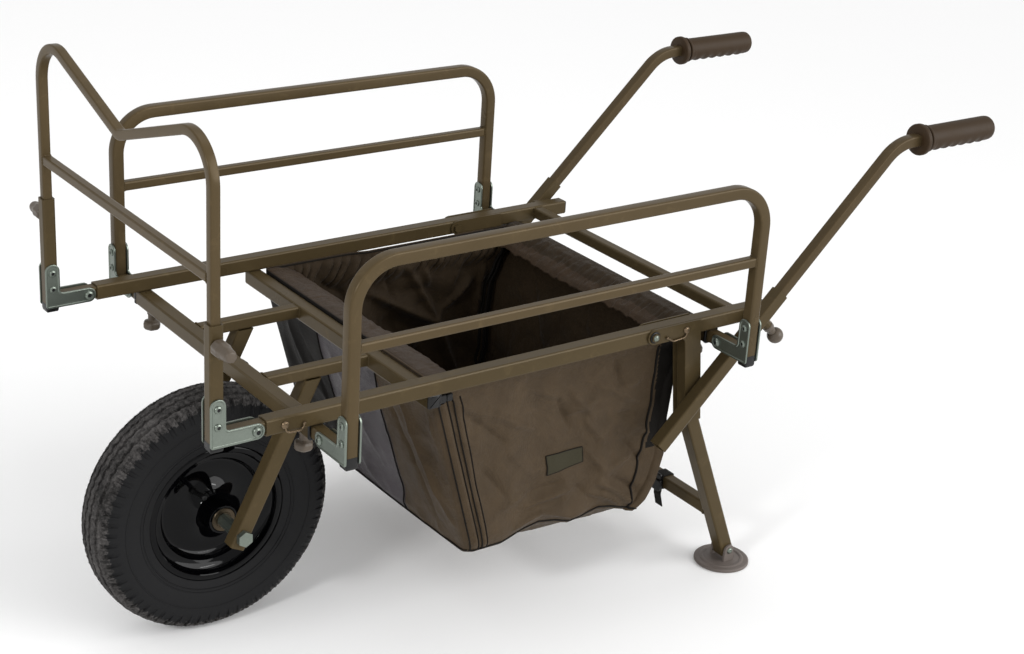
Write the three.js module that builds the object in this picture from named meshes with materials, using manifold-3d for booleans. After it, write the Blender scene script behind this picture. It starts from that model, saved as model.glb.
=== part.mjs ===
// Fishing trolley: a one-wheel barrow of square steel tube with a folding, height-adjustable front gate,
// folding side gates on width slides, telescopic handles, a folding leg frame and a bag under the deck.
// Units are millimetres. While it is built, X = 0 is the wheel axle, +X runs to the handles, Z = 0 is the
// ground and +Z is up. Whoever pushes it has -Y on the left hand and +Y on the right.

import * as THREE from 'three';
import { mergeVertices } from 'three/addons/utils/BufferGeometryUtils.js';
import Module from 'manifold-3d';

const wasm = await Module();
wasm.setup();

// Clearances
const gap = 0.3; // between pieces that touch or are welded
const slideFit = 0.5; // each side of a tube that slides inside another
const pinFit = 0.3; // round a bolt, pin or screw
const overrun = 3; // how far a cutting shape runs past what it cuts

// Counts
const cornerSteps = 2; // facets on each corner of a square tube
const bendSteps = 6; // facets in a quarter turn of a bent tube
const roundSides = 10; // sides of a bolt or a knob
const hexSides = 6;
const arcSteps = 4; // facets of a rounded end on a plate
const wheelSides = 32; // sides of the tyre and its rim, the same so that they fit

// Wheel
const tyre = { radius: 203, width: 92, beadRadius: 108, beadHalfWidth: 33, casing: 9 };
const rim = { lipRadius: 115, wall: 3, wellRadius: 92, wellHalfWidth: 15 };
const hub = { radius: 24, halfLength: 56, boreRadius: 12, dishOffset: 10, dishRadius: 62 };
const bearing = { radius: 19.7, width: 12 };
const axle = { radius: 7.5, spacerRadius: 11, headRadius: 13, headThickness: 9 };

// Deck: two hollow rails with crossbars under them
const rail = { side: 25, wall: 2, corner: 3, halfSpacing: 282, aboveTyre: 70, front: -57, behindPost: 116 };
const crossbar = { side: 25, wall: 2, beyondRail: 1 };
const sidePostFront = 28; // X of the front crossbar, which carries the side gates' front posts
const sidePostRear = 771; // X of the rear slide crossbar, which carries their rear posts
const bagBarX = 230;
const endBar = { side: 20, wall: 1.8, behindPost: 53 };
const beam = { side: 20, wall: 1.8, halfSpacing: 108 };

// Fork under the two short beams
const fork = { side: 25, wall: 2, leanDegrees: 63.5, toe: 21 };

// Tubes that slide in the rails and crossbars
const slideTube = { wall: 1.8, frontDepth: 208, sideDepth: 243 };

// Folding bracket: two L plates either side of a tube, hinged on a bolt at the end of the foot
const bracket = { offset: 60, plate: 3, width: 24, rise: 62, fillet: 6, railClearance: 3, boltRadius: 4,
  headRadius: 8, headThickness: 4, postDrop: 8, stopGap: 0.4 };

// Front gate
const gate = { side: 15, wall: 1.5, corner: 2.5, barAbove: 234, cornerAbove: 445, dipAbove: 352, footAbove: 52,
  bend: 62, dipBend: 70 };
const gateSleeve = { wall: 2.5, corner: 3.5, topAbove: 170, knobBelowTop: 30 };

// Side gates
const side = { tube: 20, wall: 1.5, corner: 3, barTube: 16, barAbove: 136, topAbove: 258, bend: 66,
  pivotOutside: 33 };

// Handles
const handle = { side: 19, wall: 1.5, corner: 2.5, leanDegrees: 44, gripAbove: 263, bend: 80, inserted: 215,
  outside: 31, insideGrip: 146 };
const handleSleeve = { wall: 1.5, behindPost: 82, below: 275, above: 53, padLength: 34, padHeight: 22 };
const grip = { beyondBend: 46.66, length: 175, radius: 20.5, flangeRadius: 27, flangeLength: 22,
  flangeRoundShare: 0.25, endRoundShare: 0.2, boreRadius: 13.2, endWall: 6, sides: 20 };

// Legs and feet
const leg = { side: 25, wall: 2, weldIn: 0.4, pivotAhead: 131, topAhead: 50, bendAhead: 30, bendBelow: 164,
  bend: 60, footBehind: 87, boltZ: 27, endBelowBolt: 9, crossbarSide: 22, crossbarWall: 1.8, crossbarZ: 108 };
const legPlate = { thickness: 3, armHeight: 26, reach: 95, width: 33, footBelow: 170, fillet: 12 };
const foot = { radius: 48, rimThickness: 5, crown: 8, crownShare: 0.72, earThickness: 5, earRadius: 11,
  boltRadius: 4, boltHeadRadius: 7, boltHeadThickness: 3, sides: 28 };

// Clamp knobs: a screw with a ball on its end
const knob = { screwRadius: 4, ballRadius: 13, ballSides: 10, ballRings: 6, collarRadius: 8, collarLength: 9,
  neckShare: 0.75, crossbarReach: 29, gateReach: 30, handleReach: 50, inset: 33 };
const boss = { radius: 9, length: 13 };

// Locking pins: a short shank with a head and a sprung wire
const pin = { radius: 3, headRadius: 6, headThickness: 3, wireRadius: 1.3, wireDrop: 15, wireLength: 30,
  wireBendShare: 0.45, wireSides: 5, behindFront: 29, legReach: 66 };

// Bag, slung between the bag crossbar and the rear slide crossbar
const bag = { wall: 3, insideRail: 19, topDrop: 1.5, hemHeight: 25, frontFootBehind: 93, frontDepth: 326,
  footAhead: 109, footDepth: 346, heelAhead: 73, heelDepth: 324, kneeAhead: 65, kneeDepth: 146 };

// Values worked out from the ones above
const railHeight = 2 * tyre.radius + rail.aboveTyre;
const railRear = sidePostRear + rail.behindPost;
const crossbarReach = rail.halfSpacing + crossbar.beyondRail;
const slideSide = rail.side - 2 * rail.wall - 2 * slideFit;
const crossbarZ = railHeight - rail.side / 2 - gap - crossbar.side / 2;
const beamZ = railHeight - rail.side / 2 - gap - beam.side / 2;
const sleeveSide = gate.side + 2 * slideFit + 2 * gateSleeve.wall;
const handleSleeveSide = handle.side + 2 * slideFit + 2 * handleSleeve.wall;
const gateSleeveTop = railHeight + gateSleeve.topAbove;
const gatePivotX = rail.front - bracket.width / 2 - bracket.railClearance;
const gatePostX = gatePivotX - bracket.offset;
const sidePivotY = rail.halfSpacing + side.pivotOutside;
const sidePostY = sidePivotY + bracket.offset;
const sleeveAnchorX = sidePostRear + handleSleeve.behindPost;
const handleY = rail.halfSpacing + handle.outside;
const legPivotX = sidePostRear - leg.pivotAhead;
const legTopX = sidePostRear - leg.topAhead;
const legBendX = sidePostRear - leg.bendAhead;
const legBendZ = railHeight - leg.bendBelow;
const legFootX = sidePostRear + leg.footBehind;
const bagHalfWidth = rail.halfSpacing - bag.insideRail;
const degree = Math.PI / 180;

const steel = (color) => new THREE.MeshStandardMaterial({ color, roughness: 0.42, metalness: 0.35 });
const paint = {
  frame: steel(0x5c5140),
  gate: steel(0x615643),
  slide: steel(0x544a3b),
  handle: steel(0x5a4f3e),
  zinc: new THREE.MeshStandardMaterial({ color: 0xb9c0c0, roughness: 0.3, metalness: 0.9 }),
  rubber: new THREE.MeshStandardMaterial({ color: 0x232324, roughness: 0.85, metalness: 0 }),
  gloss: new THREE.MeshStandardMaterial({ color: 0x0b0b0c, roughness: 0.12, metalness: 0.2 }),
  grip: new THREE.MeshStandardMaterial({ color: 0x4a3d31, roughness: 0.7, metalness: 0 }),
  knob: new THREE.MeshStandardMaterial({ color: 0x4b423b, roughness: 0.5, metalness: 0 }),
  plastic: new THREE.MeshStandardMaterial({ color: 0x55504b, roughness: 0.6, metalness: 0 }),
  cloth: new THREE.MeshStandardMaterial({ color: 0x4a4034, roughness: 0.8, metalness: 0 }),
};

// Booleans

function toSolid(geometry) {
  const bare = geometry.index ? geometry.clone() : mergeVertices(geometry);
  for (const name of ['normal', 'uv']) bare.deleteAttribute(name);
  const merged = mergeVertices(bare, 1e-4);
  const mesh = new wasm.Mesh({
    numProp: 3,
    vertProperties: new Float32Array(merged.attributes.position.array),
    triVerts: new Uint32Array(merged.index.array),
  });
  mesh.merge();
  return new wasm.Manifold(mesh);
}

function toGeometry(solid) {
  const mesh = solid.getMesh();
  const geometry = new THREE.BufferGeometry();
  geometry.setAttribute('position', new THREE.BufferAttribute(new Float32Array(mesh.vertProperties), 3));
  geometry.setIndex(new THREE.BufferAttribute(new Uint32Array(mesh.triVerts), 1));
  return geometry;
}

function cut(body, tools) {
  return toGeometry(tools.reduce((rest, tool) => rest.subtract(toSolid(tool)), toSolid(body)));
}

function join(bodies) {
  const [first, ...others] = bodies.map(toSolid);
  return toGeometry(others.reduce((whole, body) => whole.add(body), first));
}

// Shapes

function roundedRectangle(width, height, radius) {
  const points = [];
  const centres = [[1, 1], [-1, 1], [-1, -1], [1, -1]];
  centres.forEach(([sx, sy], quarter) => {
    for (let step = 0; step <= cornerSteps; step += 1) {
      const angle = (quarter + step / cornerSteps) * Math.PI / 2;
      points.push(new THREE.Vector2(
        sx * (width / 2 - radius) + radius * Math.cos(angle),
        sy * (height / 2 - radius) + radius * Math.sin(angle),
      ));
    }
  });
  return points;
}

// The cross-section of a hollow square tube
function tubeSection(width, height, wall, radius) {
  const shape = new THREE.Shape(roundedRectangle(width, height, radius));
  const x = width / 2 - wall;
  const y = height / 2 - wall;
  shape.holes.push(new THREE.Path([[x, y], [x, -y], [-x, -y], [-x, y]].map((p) => new THREE.Vector2(...p))));
  return shape;
}

// Turns a shape drawn along +Z so that it runs from one point towards another, with its own Y kept level
function aim(geometry, from, to) {
  const along = new THREE.Vector3().subVectors(to, from).normalize();
  const level = Math.abs(along.y) < 0.9 ? new THREE.Vector3(0, 1, 0) : new THREE.Vector3(0, 0, 1);
  const across = new THREE.Vector3().crossVectors(level, along).normalize();
  level.crossVectors(along, across);
  geometry.applyMatrix4(new THREE.Matrix4().makeBasis(across, level, along).setPosition(from));
  return geometry;
}

function straightTube(from, to, section) {
  const depth = from.distanceTo(to);
  return aim(new THREE.ExtrudeGeometry(section, { depth, bevelEnabled: false }), from, to);
}

function squareTube(from, to, width, wall, corner = rail.corner) {
  return straightTube(from, to, tubeSection(width, width, wall, corner));
}

function rod(from, to, radius, sides = roundSides) {
  const length = from.distanceTo(to);
  const geometry = new THREE.CylinderGeometry(radius, radius, length, sides);
  geometry.rotateX(Math.PI / 2).translate(0, 0, length / 2);
  return aim(geometry, from, to);
}

// A flat plate from an outline drawn in X and Z, with one face at Y = 0 and the other at -thickness
function plateOf(outline, thickness) {
  const shape = { depth: thickness, bevelEnabled: false, curveSegments: arcSteps };
  return new THREE.ExtrudeGeometry(outline, shape).rotateX(Math.PI / 2);
}

function block(width, depth, height, centre) {
  return new THREE.BoxGeometry(width, depth, height).translate(centre.x, centre.y, centre.z);
}

// A path through given stations, each with its own direction, in the plane square to a given normal
class StationPath extends THREE.Curve {
  constructor(points, tangents, normal) {
    super();
    Object.assign(this, { points, tangents, normal });
  }

  getPoint(share) {
    return this.points[Math.round(share * (this.points.length - 1))].clone();
  }

  getSpacedPoints() {
    return this.points;
  }

  computeFrenetFrames() {
    const normals = this.tangents.map(() => this.normal);
    const binormals = this.tangents.map((tangent) => new THREE.Vector3().crossVectors(tangent, this.normal));
    return { tangents: this.tangents, normals, binormals };
  }
}

// A tube bent to a radius at each inner corner of a polyline that lies in one plane
function bentTube(corners, radii, section, normal) {
  const points = [corners[0]];
  const tangents = [new THREE.Vector3().subVectors(corners[1], corners[0]).normalize()];
  for (let i = 1; i < corners.length - 1; i += 1) {
    const into = new THREE.Vector3().subVectors(corners[i], corners[i - 1]).normalize();
    const out = new THREE.Vector3().subVectors(corners[i + 1], corners[i]).normalize();
    const turn = into.angleTo(out);
    const axis = new THREE.Vector3().crossVectors(into, out).normalize();
    const start = corners[i].clone().addScaledVector(into, -radii[i - 1] * Math.tan(turn / 2));
    const centre = start.clone().addScaledVector(new THREE.Vector3().crossVectors(axis, into), radii[i - 1]);
    const steps = Math.max(2, Math.round(bendSteps * turn / (Math.PI / 2)));
    for (let step = 0; step <= steps; step += 1) {
      const angle = turn * step / steps;
      const arm = start.clone().sub(centre).applyAxisAngle(axis, angle);
      points.push(centre.clone().add(arm));
      tangents.push(into.clone().applyAxisAngle(axis, angle));
    }
  }
  points.push(corners[corners.length - 1]);
  tangents.push(tangents[tangents.length - 1]);
  const extrudePath = new StationPath(points, tangents, normal);
  return new THREE.ExtrudeGeometry(section, { steps: points.length - 1, extrudePath });
}

const at = (x, y, z) => new THREE.Vector3(x, y, z);
const acrossY = at(0, 1, 0);
const alongX = at(1, 0, 0);

// A turned piece about the Y axis, from [radius, y] pairs listed up its outer side and back down the inner
function turned(pairs, sides) {
  const points = pairs.map(([radius, y]) => new THREE.Vector2(radius, y));
  if (pairs[0][0] > 0) points.push(points[0].clone());
  return new THREE.LatheGeometry(points, sides);
}

// Wheel

// The skin of the tyre from its crown to its sidewall; an inset gives the inside of its casing
const tyreSkin = (inset) => {
  const crownShares = [[0, 1], [0.5, 0.99], [0.85, 0.945], [1, 0.83], [0.97, 0.7]];
  return crownShares.map(([across, out]) => [(tyre.radius - inset) * out, (tyre.width / 2 - inset) * across]);
};

const mirrored = (pairs) => pairs.map(([radius, y]) => [radius, -y]).reverse();

function tyreBody() {
  const lip = rim.lipRadius + 2 * gap;
  const outer = [...tyreSkin(0), [lip, tyre.beadHalfWidth + gap + rim.wall], [lip, tyre.beadHalfWidth],
    [tyre.beadRadius, tyre.beadHalfWidth]];
  const inner = [...tyreSkin(tyre.casing), [lip + tyre.casing, tyre.beadHalfWidth - tyre.casing],
    [tyre.beadRadius, tyre.beadHalfWidth - tyre.casing]];
  return turned([...mirrored(outer).slice(0, -1), ...outer, ...inner.slice().reverse(),
    ...mirrored(inner).slice(0, -1).reverse()], wheelSides);
}

function rimBody() {
  const seat = tyre.beadRadius - gap;
  const bed = seat - rim.wall;
  const side = tyre.beadHalfWidth + gap;
  const shoulder = rim.wellHalfWidth + rim.wall;
  const pocket = bearing.radius + gap;
  const pocketFloor = hub.halfLength - bearing.width;
  const half = [[hub.boreRadius, pocketFloor], [pocket, pocketFloor], [pocket, hub.halfLength],
    [hub.radius, hub.halfLength], [hub.radius, hub.dishOffset * 2],
    [hub.radius + hub.dishOffset, hub.dishOffset], [hub.dishRadius, rim.wall],
    [rim.wellRadius - rim.wall * 2, rim.wall], [rim.wellRadius - rim.wall, shoulder],
    [bed, shoulder + rim.wall * 2], [bed, side + rim.wall], [rim.lipRadius, side + rim.wall],
    [rim.lipRadius, side], [seat, side],
    [seat, rim.wellHalfWidth + rim.wall * 2], [rim.wellRadius, rim.wellHalfWidth]];
  return turned([...half.map(([radius, y]) => [radius, -y]), ...half.slice().reverse()], wheelSides);
}

function bearingBody(sign) {
  const outerY = hub.halfLength;
  const innerY = hub.halfLength - bearing.width + gap;
  const ring = turned([[bearing.radius, innerY], [bearing.radius, outerY],
    [axle.radius + pinFit, outerY], [axle.radius + pinFit, innerY]], roundSides * 2);
  return sign > 0 ? ring : ring.rotateX(Math.PI);
}

// The axle bolt with its spacer sleeves, washer and nut
function axleBody() {
  const armInner = beam.halfSpacing - fork.side / 2 - gap;
  const armOuter = beam.halfSpacing + fork.side / 2 + gap;
  const boltEnd = armOuter + axle.headThickness / 2;
  const pieces = [rod(at(0, -boltEnd, 0), at(0, boltEnd, 0), axle.radius, roundSides * 2)];
  for (const sign of [-1, 1]) {
    pieces.push(rod(at(0, sign * (hub.halfLength + gap), 0), at(0, sign * armInner, 0), axle.spacerRadius));
    pieces.push(rod(at(0, sign * armOuter, 0), at(0, sign * (armOuter + axle.headThickness), 0),
      axle.headRadius, hexSides));
  }
  return join(pieces);
}

// Deck

function railBody(sign) {
  const y = sign * rail.halfSpacing;
  const tube = squareTube(at(rail.front, y, railHeight), at(railRear, y, railHeight), rail.side, rail.wall);
  const hole = (x, radius, reach) => rod(at(x, y, railHeight), at(x, y + sign * reach, railHeight), radius);
  return cut(tube, [hole(rail.front + pin.behindFront, pin.radius + pinFit, rail.side)]);
}

function crossbarBody(x, knobbed) {
  const tube = squareTube(at(x, -crossbarReach, crossbarZ), at(x, crossbarReach, crossbarZ),
    crossbar.side, crossbar.wall);
  if (!knobbed) return tube;
  const holes = [-1, 1].map((sign) => {
    const y = sign * (crossbarReach - knob.inset);
    return rod(at(x, y, crossbarZ), at(x, y, crossbarZ - crossbar.side), knob.screwRadius + pinFit);
  });
  return cut(tube, holes);
}

function endBarBody() {
  const reach = rail.halfSpacing - rail.side / 2 - gap;
  const endBarX = sidePostRear + endBar.behindPost;
  return squareTube(at(endBarX, -reach, railHeight), at(endBarX, reach, railHeight), endBar.side,
    endBar.wall);
}

function beamBody(sign) {
  const y = sign * beam.halfSpacing;
  const start = sidePostFront + crossbar.side / 2 + gap;
  const end = bagBarX - crossbar.side / 2 - gap;
  return squareTube(at(start, y, beamZ), at(end, y, beamZ), beam.side, beam.wall);
}

function forkArmBody(sign) {
  const y = sign * beam.halfSpacing;
  const lean = fork.leanDegrees * degree;
  const along = at(Math.cos(lean), 0, Math.sin(lean));
  const centre = at(0, y, tyre.radius);
  const underside = beamZ - beam.side / 2 - gap;
  const length = (underside - tyre.radius) / Math.sin(lean);
  const tube = squareTube(centre.clone().addScaledVector(along, -fork.toe),
    centre.clone().addScaledVector(along, length + fork.side), fork.side, fork.wall);
  const above = block(fork.side * 4, fork.side * 2, fork.side * 4,
    at(length * along.x, y, underside + fork.side * 2));
  const reach = fork.side / 2 + overrun;
  const hole = rod(at(0, y - reach, tyre.radius), at(0, y + reach, tyre.radius), axle.radius + pinFit,
    roundSides * 2);
  return cut(tube, [above, hole]);
}

// Slides: the tube reaches past its hinge bolt far enough to stop the post, yet lets it swing

function stopReach(postSide) {
  const reach = bracket.offset - postSide / 2 - bracket.stopGap;
  return Math.sqrt(reach ** 2 - (slideSide / 2) ** 2);
}

function slideBody(pivot, inward, depth, postSide, across) {
  const start = pivot.clone().addScaledVector(inward, -stopReach(postSide));
  const end = pivot.clone().addScaledVector(inward, depth);
  const tube = squareTube(start, end, slideSide, slideTube.wall);
  const reach = slideSide / 2 + overrun;
  const hole = rod(pivot.clone().addScaledVector(across, -reach), pivot.clone().addScaledVector(across, reach),
    bracket.boltRadius + pinFit);
  return cut(tube, [hole]);
}

// Folding bracket, drawn about its bolt: the post stands on the -X side, and the bolt runs along Y
function bracketBody(inside) {
  const half = bracket.width / 2;
  const post = -bracket.offset;
  const outline = new THREE.Shape();
  outline.moveTo(post - half, -half);
  outline.lineTo(0, -half);
  outline.absarc(0, 0, half, -Math.PI / 2, Math.PI / 2, false);
  const turnAt = half + bracket.fillet;
  outline.lineTo(post + turnAt, half);
  outline.absarc(post + turnAt, turnAt, bracket.fillet, -Math.PI / 2, -Math.PI, true);
  outline.lineTo(post + half, bracket.rise - half);
  outline.absarc(post, bracket.rise - half, half, 0, Math.PI, false);
  const plate = () => plateOf(outline, bracket.plate);
  const innerFace = inside / 2 + gap;
  const head = innerFace + bracket.plate + bracket.headThickness;
  return join([
    plate().translate(0, -innerFace, 0),
    plate().translate(0, innerFace + bracket.plate, 0),
    rod(at(0, -head, 0), at(0, head, 0), bracket.boltRadius),
    ...[-1, 1].map((sign) => rod(at(0, sign * (head - bracket.headThickness - bracket.plate / 2), 0),
      at(0, sign * head, 0), bracket.headRadius, hexSides)),
  ]);
}

// Front gate

function gateSleeveBody(sign) {
  const y = sign * rail.halfSpacing;
  const bottom = railHeight - bracket.postDrop;
  const tube = squareTube(at(gatePostX, y, bottom), at(gatePostX, y, gateSleeveTop), sleeveSide,
    gateSleeve.wall, gateSleeve.corner);
  const z = gateSleeveTop - gateSleeve.knobBelowTop;
  const outside = at(gatePostX, y + sign * sleeveSide, z);
  return cut(tube, [rod(at(gatePostX, y, z), outside, knob.screwRadius + pinFit)]);
}

function gateHoopBody() {
  const y = rail.halfSpacing;
  const { footAbove, cornerAbove, dipAbove } = gate;
  const corners = [[-y, footAbove], [-y, cornerAbove], [0, dipAbove], [y, cornerAbove], [y, footAbove]]
    .map(([across, above]) => at(gatePostX, across, railHeight + above));
  const section = tubeSection(gate.side, gate.side, gate.wall, gate.corner);
  return bentTube(corners, [gate.bend, gate.dipBend, gate.bend], section, alongX);
}

function gateBarBody() {
  const reach = rail.halfSpacing - gate.side / 2 - gap;
  const z = railHeight + gate.barAbove;
  return squareTube(at(gatePostX, -reach, z), at(gatePostX, reach, z), gate.side, gate.wall, gate.corner);
}

// Side gates

function sideHoopBody(sign) {
  const y = sign * sidePostY;
  const bottom = crossbarZ - bracket.postDrop;
  const front = [at(sidePostFront, y, bottom), at(sidePostFront, y, railHeight + side.topAbove)];
  const corners = [...front, at(sidePostRear, y, railHeight + side.topAbove), at(sidePostRear, y, bottom)];
  const section = tubeSection(side.tube, side.tube, side.wall, side.corner);
  return bentTube(corners, [side.bend, side.bend], section, acrossY);
}

function sideBarBody(sign) {
  const y = sign * sidePostY;
  const inset = side.tube / 2 + gap;
  const z = railHeight + side.barAbove;
  return squareTube(at(sidePostFront + inset, y, z), at(sidePostRear - inset, y, z), side.barTube, side.wall,
    side.corner);
}

// Handles, which slide in sleeves welded outside the rails

const handleLine = (distance, y) => {
  const lean = handle.leanDegrees * degree;
  return at(sleeveAnchorX + distance * Math.cos(lean), y, railHeight + distance * Math.sin(lean));
};
const gripStartX = handleLine(handle.gripAbove / Math.sin(handle.leanDegrees * degree), 0).x + grip.beyondBend;
const handleUnder = at(Math.sin(handle.leanDegrees * degree), 0, -Math.cos(handle.leanDegrees * degree));

function handleSleeveBody(sign) {
  const y = sign * handleY;
  const tube = squareTube(handleLine(-handleSleeve.below, y), handleLine(handleSleeve.above, y),
    handleSleeveSide, handleSleeve.wall, handle.corner);
  const railFace = rail.halfSpacing + rail.side / 2 + gap;
  const sleeveFace = handleY - handleSleeveSide / 2 + handleSleeve.wall / 2;
  const pad = block(handleSleeve.padLength, sleeveFace - railFace, handleSleeve.padHeight,
    at(sleeveAnchorX, sign * (sleeveFace + railFace) / 2, railHeight));
  const base = handleLine(0, y);
  const skin = base.clone().addScaledVector(handleUnder, handleSleeveSide / 2 - handleSleeve.wall / 2);
  const lip = skin.clone().addScaledVector(handleUnder, boss.length);
  const bore = rod(base, lip.clone().addScaledVector(handleUnder, overrun), knob.screwRadius + pinFit);
  return cut(join([tube, pad, rod(skin, lip, boss.radius)]), [bore]);
}

function handleBody(sign) {
  const y = sign * handleY;
  const apex = handleLine(handle.gripAbove / Math.sin(handle.leanDegrees * degree), y);
  const start = handleLine(handleSleeve.above - handle.inserted, y);
  const section = tubeSection(handle.side, handle.side, handle.wall, handle.corner);
  const end = at(gripStartX + handle.insideGrip, y, railHeight + handle.gripAbove);
  return bentTube([start, apex, end], [handle.bend], section, acrossY);
}

function gripBody() {
  const flangeEdge = grip.flangeLength * grip.flangeRoundShare;
  const round = grip.radius * grip.endRoundShare;
  const depth = grip.length - grip.endWall;
  return turned([[grip.boreRadius, 0], [grip.flangeRadius - flangeEdge, 0], [grip.flangeRadius, flangeEdge],
    [grip.flangeRadius, grip.flangeLength - flangeEdge], [grip.radius, grip.flangeLength],
    [grip.radius, grip.length - round], [grip.radius - round, grip.length], [0, grip.length], [0, depth],
    [grip.boreRadius, depth]], grip.sides);
}

// Legs

const legDepth = rail.side + 2 * (gap + leg.weldIn);

function legPlateBody(y) {
  const half = legPlate.armHeight / 2;
  const top = railHeight + half;
  const under = railHeight - half;
  const plateFoot = railHeight - legPlate.footBelow;
  const topRear = legPivotX + legPlate.reach;
  const lean = (legBendX - legTopX) / (railHeight - legBendZ);
  const rearAt = (z) => topRear + (top - z) * lean;
  const frontAt = (z) => rearAt(z) - legPlate.width;
  const outline = new THREE.Shape();
  outline.moveTo(legPivotX, top);
  outline.absarc(legPivotX, railHeight, half, Math.PI / 2, Math.PI * 1.5, false);
  outline.lineTo(frontAt(under) - legPlate.fillet, under);
  outline.quadraticCurveTo(frontAt(under), under, frontAt(under - legPlate.fillet), under - legPlate.fillet);
  outline.lineTo(frontAt(plateFoot), plateFoot);
  outline.lineTo(rearAt(plateFoot), plateFoot);
  outline.lineTo(topRear, top);
  return plateOf(outline, legPlate.thickness).translate(0, y + legPlate.thickness, 0);
}

function legBody(sign) {
  const y = sign * rail.halfSpacing;
  const top = railHeight - rail.side / 2 - gap;
  const toBolt = new THREE.Vector3(legFootX - legBendX, 0, leg.boltZ - legBendZ).normalize();
  const end = at(legFootX, y, leg.boltZ).addScaledVector(toBolt, leg.endBelowBolt);
  const section = tubeSection(legDepth, leg.side, leg.wall, rail.corner);
  const high = at(legTopX, y, railHeight);
  const tube = bentTube([high, at(legBendX, y, legBendZ), end], [leg.bend], section, acrossY);
  const overTop = block(leg.side * 3, leg.side * 2, leg.side * 2, at(legTopX, y, top + leg.side));
  const inner = rail.side / 2 + gap;
  const plates = [legPlateBody(y + inner), legPlateBody(y - inner - legPlate.thickness)];
  const reach = inner + legPlate.thickness + overrun;
  const across = (x, z, radius) => rod(at(x, y - reach, z), at(x, y + reach, z), radius);
  const trimmed = cut(tube, [overTop]);
  const face = inner + legPlate.thickness;
  const head = (from, to) => rod(at(legPivotX, y + from, railHeight), at(legPivotX, y + to, railHeight),
    bracket.headRadius, hexSides);
  const bolts = [head(face - overrun / 2, face + bracket.headThickness),
    head(-face + overrun / 2, -face - bracket.headThickness)];
  const pinHole = rod(at(legPivotX + pin.legReach, y + sign * inner, railHeight),
    at(legPivotX + pin.legReach, y + sign * (inner + legPlate.thickness + overrun), railHeight),
    pin.radius + pinFit);
  const boltHole = across(legFootX, leg.boltZ, foot.boltRadius + pinFit);
  return cut(join([trimmed, ...plates, ...bolts]), [boltHole, pinHole]);
}

function legCrossbarBody() {
  const share = (legBendZ - leg.crossbarZ) / (legBendZ - leg.boltZ);
  const x = legBendX + share * (legFootX - legBendX);
  const reach = rail.halfSpacing - legDepth / 2 - gap;
  return squareTube(at(x, -reach, leg.crossbarZ), at(x, reach, leg.crossbarZ), leg.crossbarSide,
    leg.crossbarWall);
}

// A round foot with two ears that hold the leg's end on a bolt, drawn about the bolt
function footBody() {
  const disc = turned([[0, 0], [foot.radius, 0], [foot.radius, foot.rimThickness],
    [foot.radius * foot.crownShare, foot.crown], [0, foot.crown]], foot.sides).rotateX(Math.PI / 2);
  const inner = legDepth / 2 + slideFit;
  const outline = new THREE.Shape();
  outline.moveTo(-foot.earRadius, foot.crown / 2);
  outline.lineTo(foot.earRadius, foot.crown / 2);
  outline.lineTo(foot.earRadius, leg.boltZ);
  outline.absarc(0, leg.boltZ, foot.earRadius, 0, Math.PI, false);
  const ear = (y) => plateOf(outline, foot.earThickness).translate(0, y + foot.earThickness, 0);
  const outer = inner + foot.earThickness;
  const shankEnd = outer + overrun / 2;
  const bolt = [rod(at(0, -shankEnd, leg.boltZ), at(0, shankEnd, leg.boltZ), foot.boltRadius),
    ...[-1, 1].map((sign) => rod(at(0, sign * (outer - overrun / 2), leg.boltZ),
      at(0, sign * (outer + foot.boltHeadThickness), leg.boltZ), foot.boltHeadRadius, hexSides))];
  return join([disc, ear(inner), ear(-outer), ...bolt]).translate(0, 0, -leg.boltZ);
}

// Clamp knob, drawn along +Z from the tip of its screw: the collar starts where it leaves the metal
function knobBody(buried, reach) {
  const ball = new THREE.SphereGeometry(knob.ballRadius, knob.ballSides, knob.ballRings)
    .rotateX(Math.PI / 2).translate(0, 0, buried + reach);
  return join([
    rod(at(0, 0, 0), at(0, 0, buried + reach), knob.screwRadius),
    rod(at(0, 0, buried + gap), at(0, 0, buried + gap + knob.collarLength), knob.collarRadius),
    rod(at(0, 0, buried + gap), at(0, 0, buried + reach), knob.collarRadius * knob.neckShare),
    ball,
  ]);
}

// Locking pin, drawn along +Z from the tip of its shank, with its wire hanging towards -Y, swept sideways
function pinBody(buried, sweep) {
  const shank = rod(at(0, 0, 0), at(0, 0, buried + gap + pin.headThickness), pin.radius);
  const head = rod(at(0, 0, buried + gap), at(0, 0, buried + gap + pin.headThickness), pin.headRadius);
  const z = buried + gap + pin.headThickness / 2;
  const reach = pin.headRadius - pin.wireRadius;
  const drop = pin.wireDrop;
  const wireShape = new THREE.Shape(Array.from({ length: pin.wireSides }, (_, i) => {
    const angle = i / pin.wireSides * 2 * Math.PI;
    return new THREE.Vector2(pin.wireRadius * Math.cos(angle), pin.wireRadius * Math.sin(angle));
  }));
  const end = sweep * pin.wireLength;
  const corners = [at(0, -reach, z), at(0, -drop, z), at(end, -drop, z), at(end, -reach, z)];
  const wire = bentTube(corners, [drop * pin.wireBendShare, drop * pin.wireBendShare], wireShape, at(0, 0, 1));
  return join([shank, head, wire]);
}

// Bag: an open-topped shell in the shape of its side panel

function bagOutline(inset) {
  const top = crossbarZ + crossbar.side / 2 - bag.topDrop;
  const hem = top - bag.hemHeight;
  const front = bagBarX + crossbar.side / 2 + gap + inset;
  const rear = sidePostRear - crossbar.side / 2 - gap - inset;
  const lift = inset > 0 ? overrun : 0;
  return new THREE.Shape([
    [front, top + lift], [front, hem],
    [bagBarX + bag.frontFootBehind + inset, railHeight - bag.frontDepth + inset],
    [sidePostRear - bag.footAhead, railHeight - bag.footDepth + inset],
    [sidePostRear - bag.heelAhead - inset, railHeight - bag.heelDepth + inset],
    [sidePostRear - bag.kneeAhead - inset, railHeight - bag.kneeDepth], [rear, hem], [rear, top + lift],
  ].map((p) => new THREE.Vector2(...p)));
}

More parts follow.
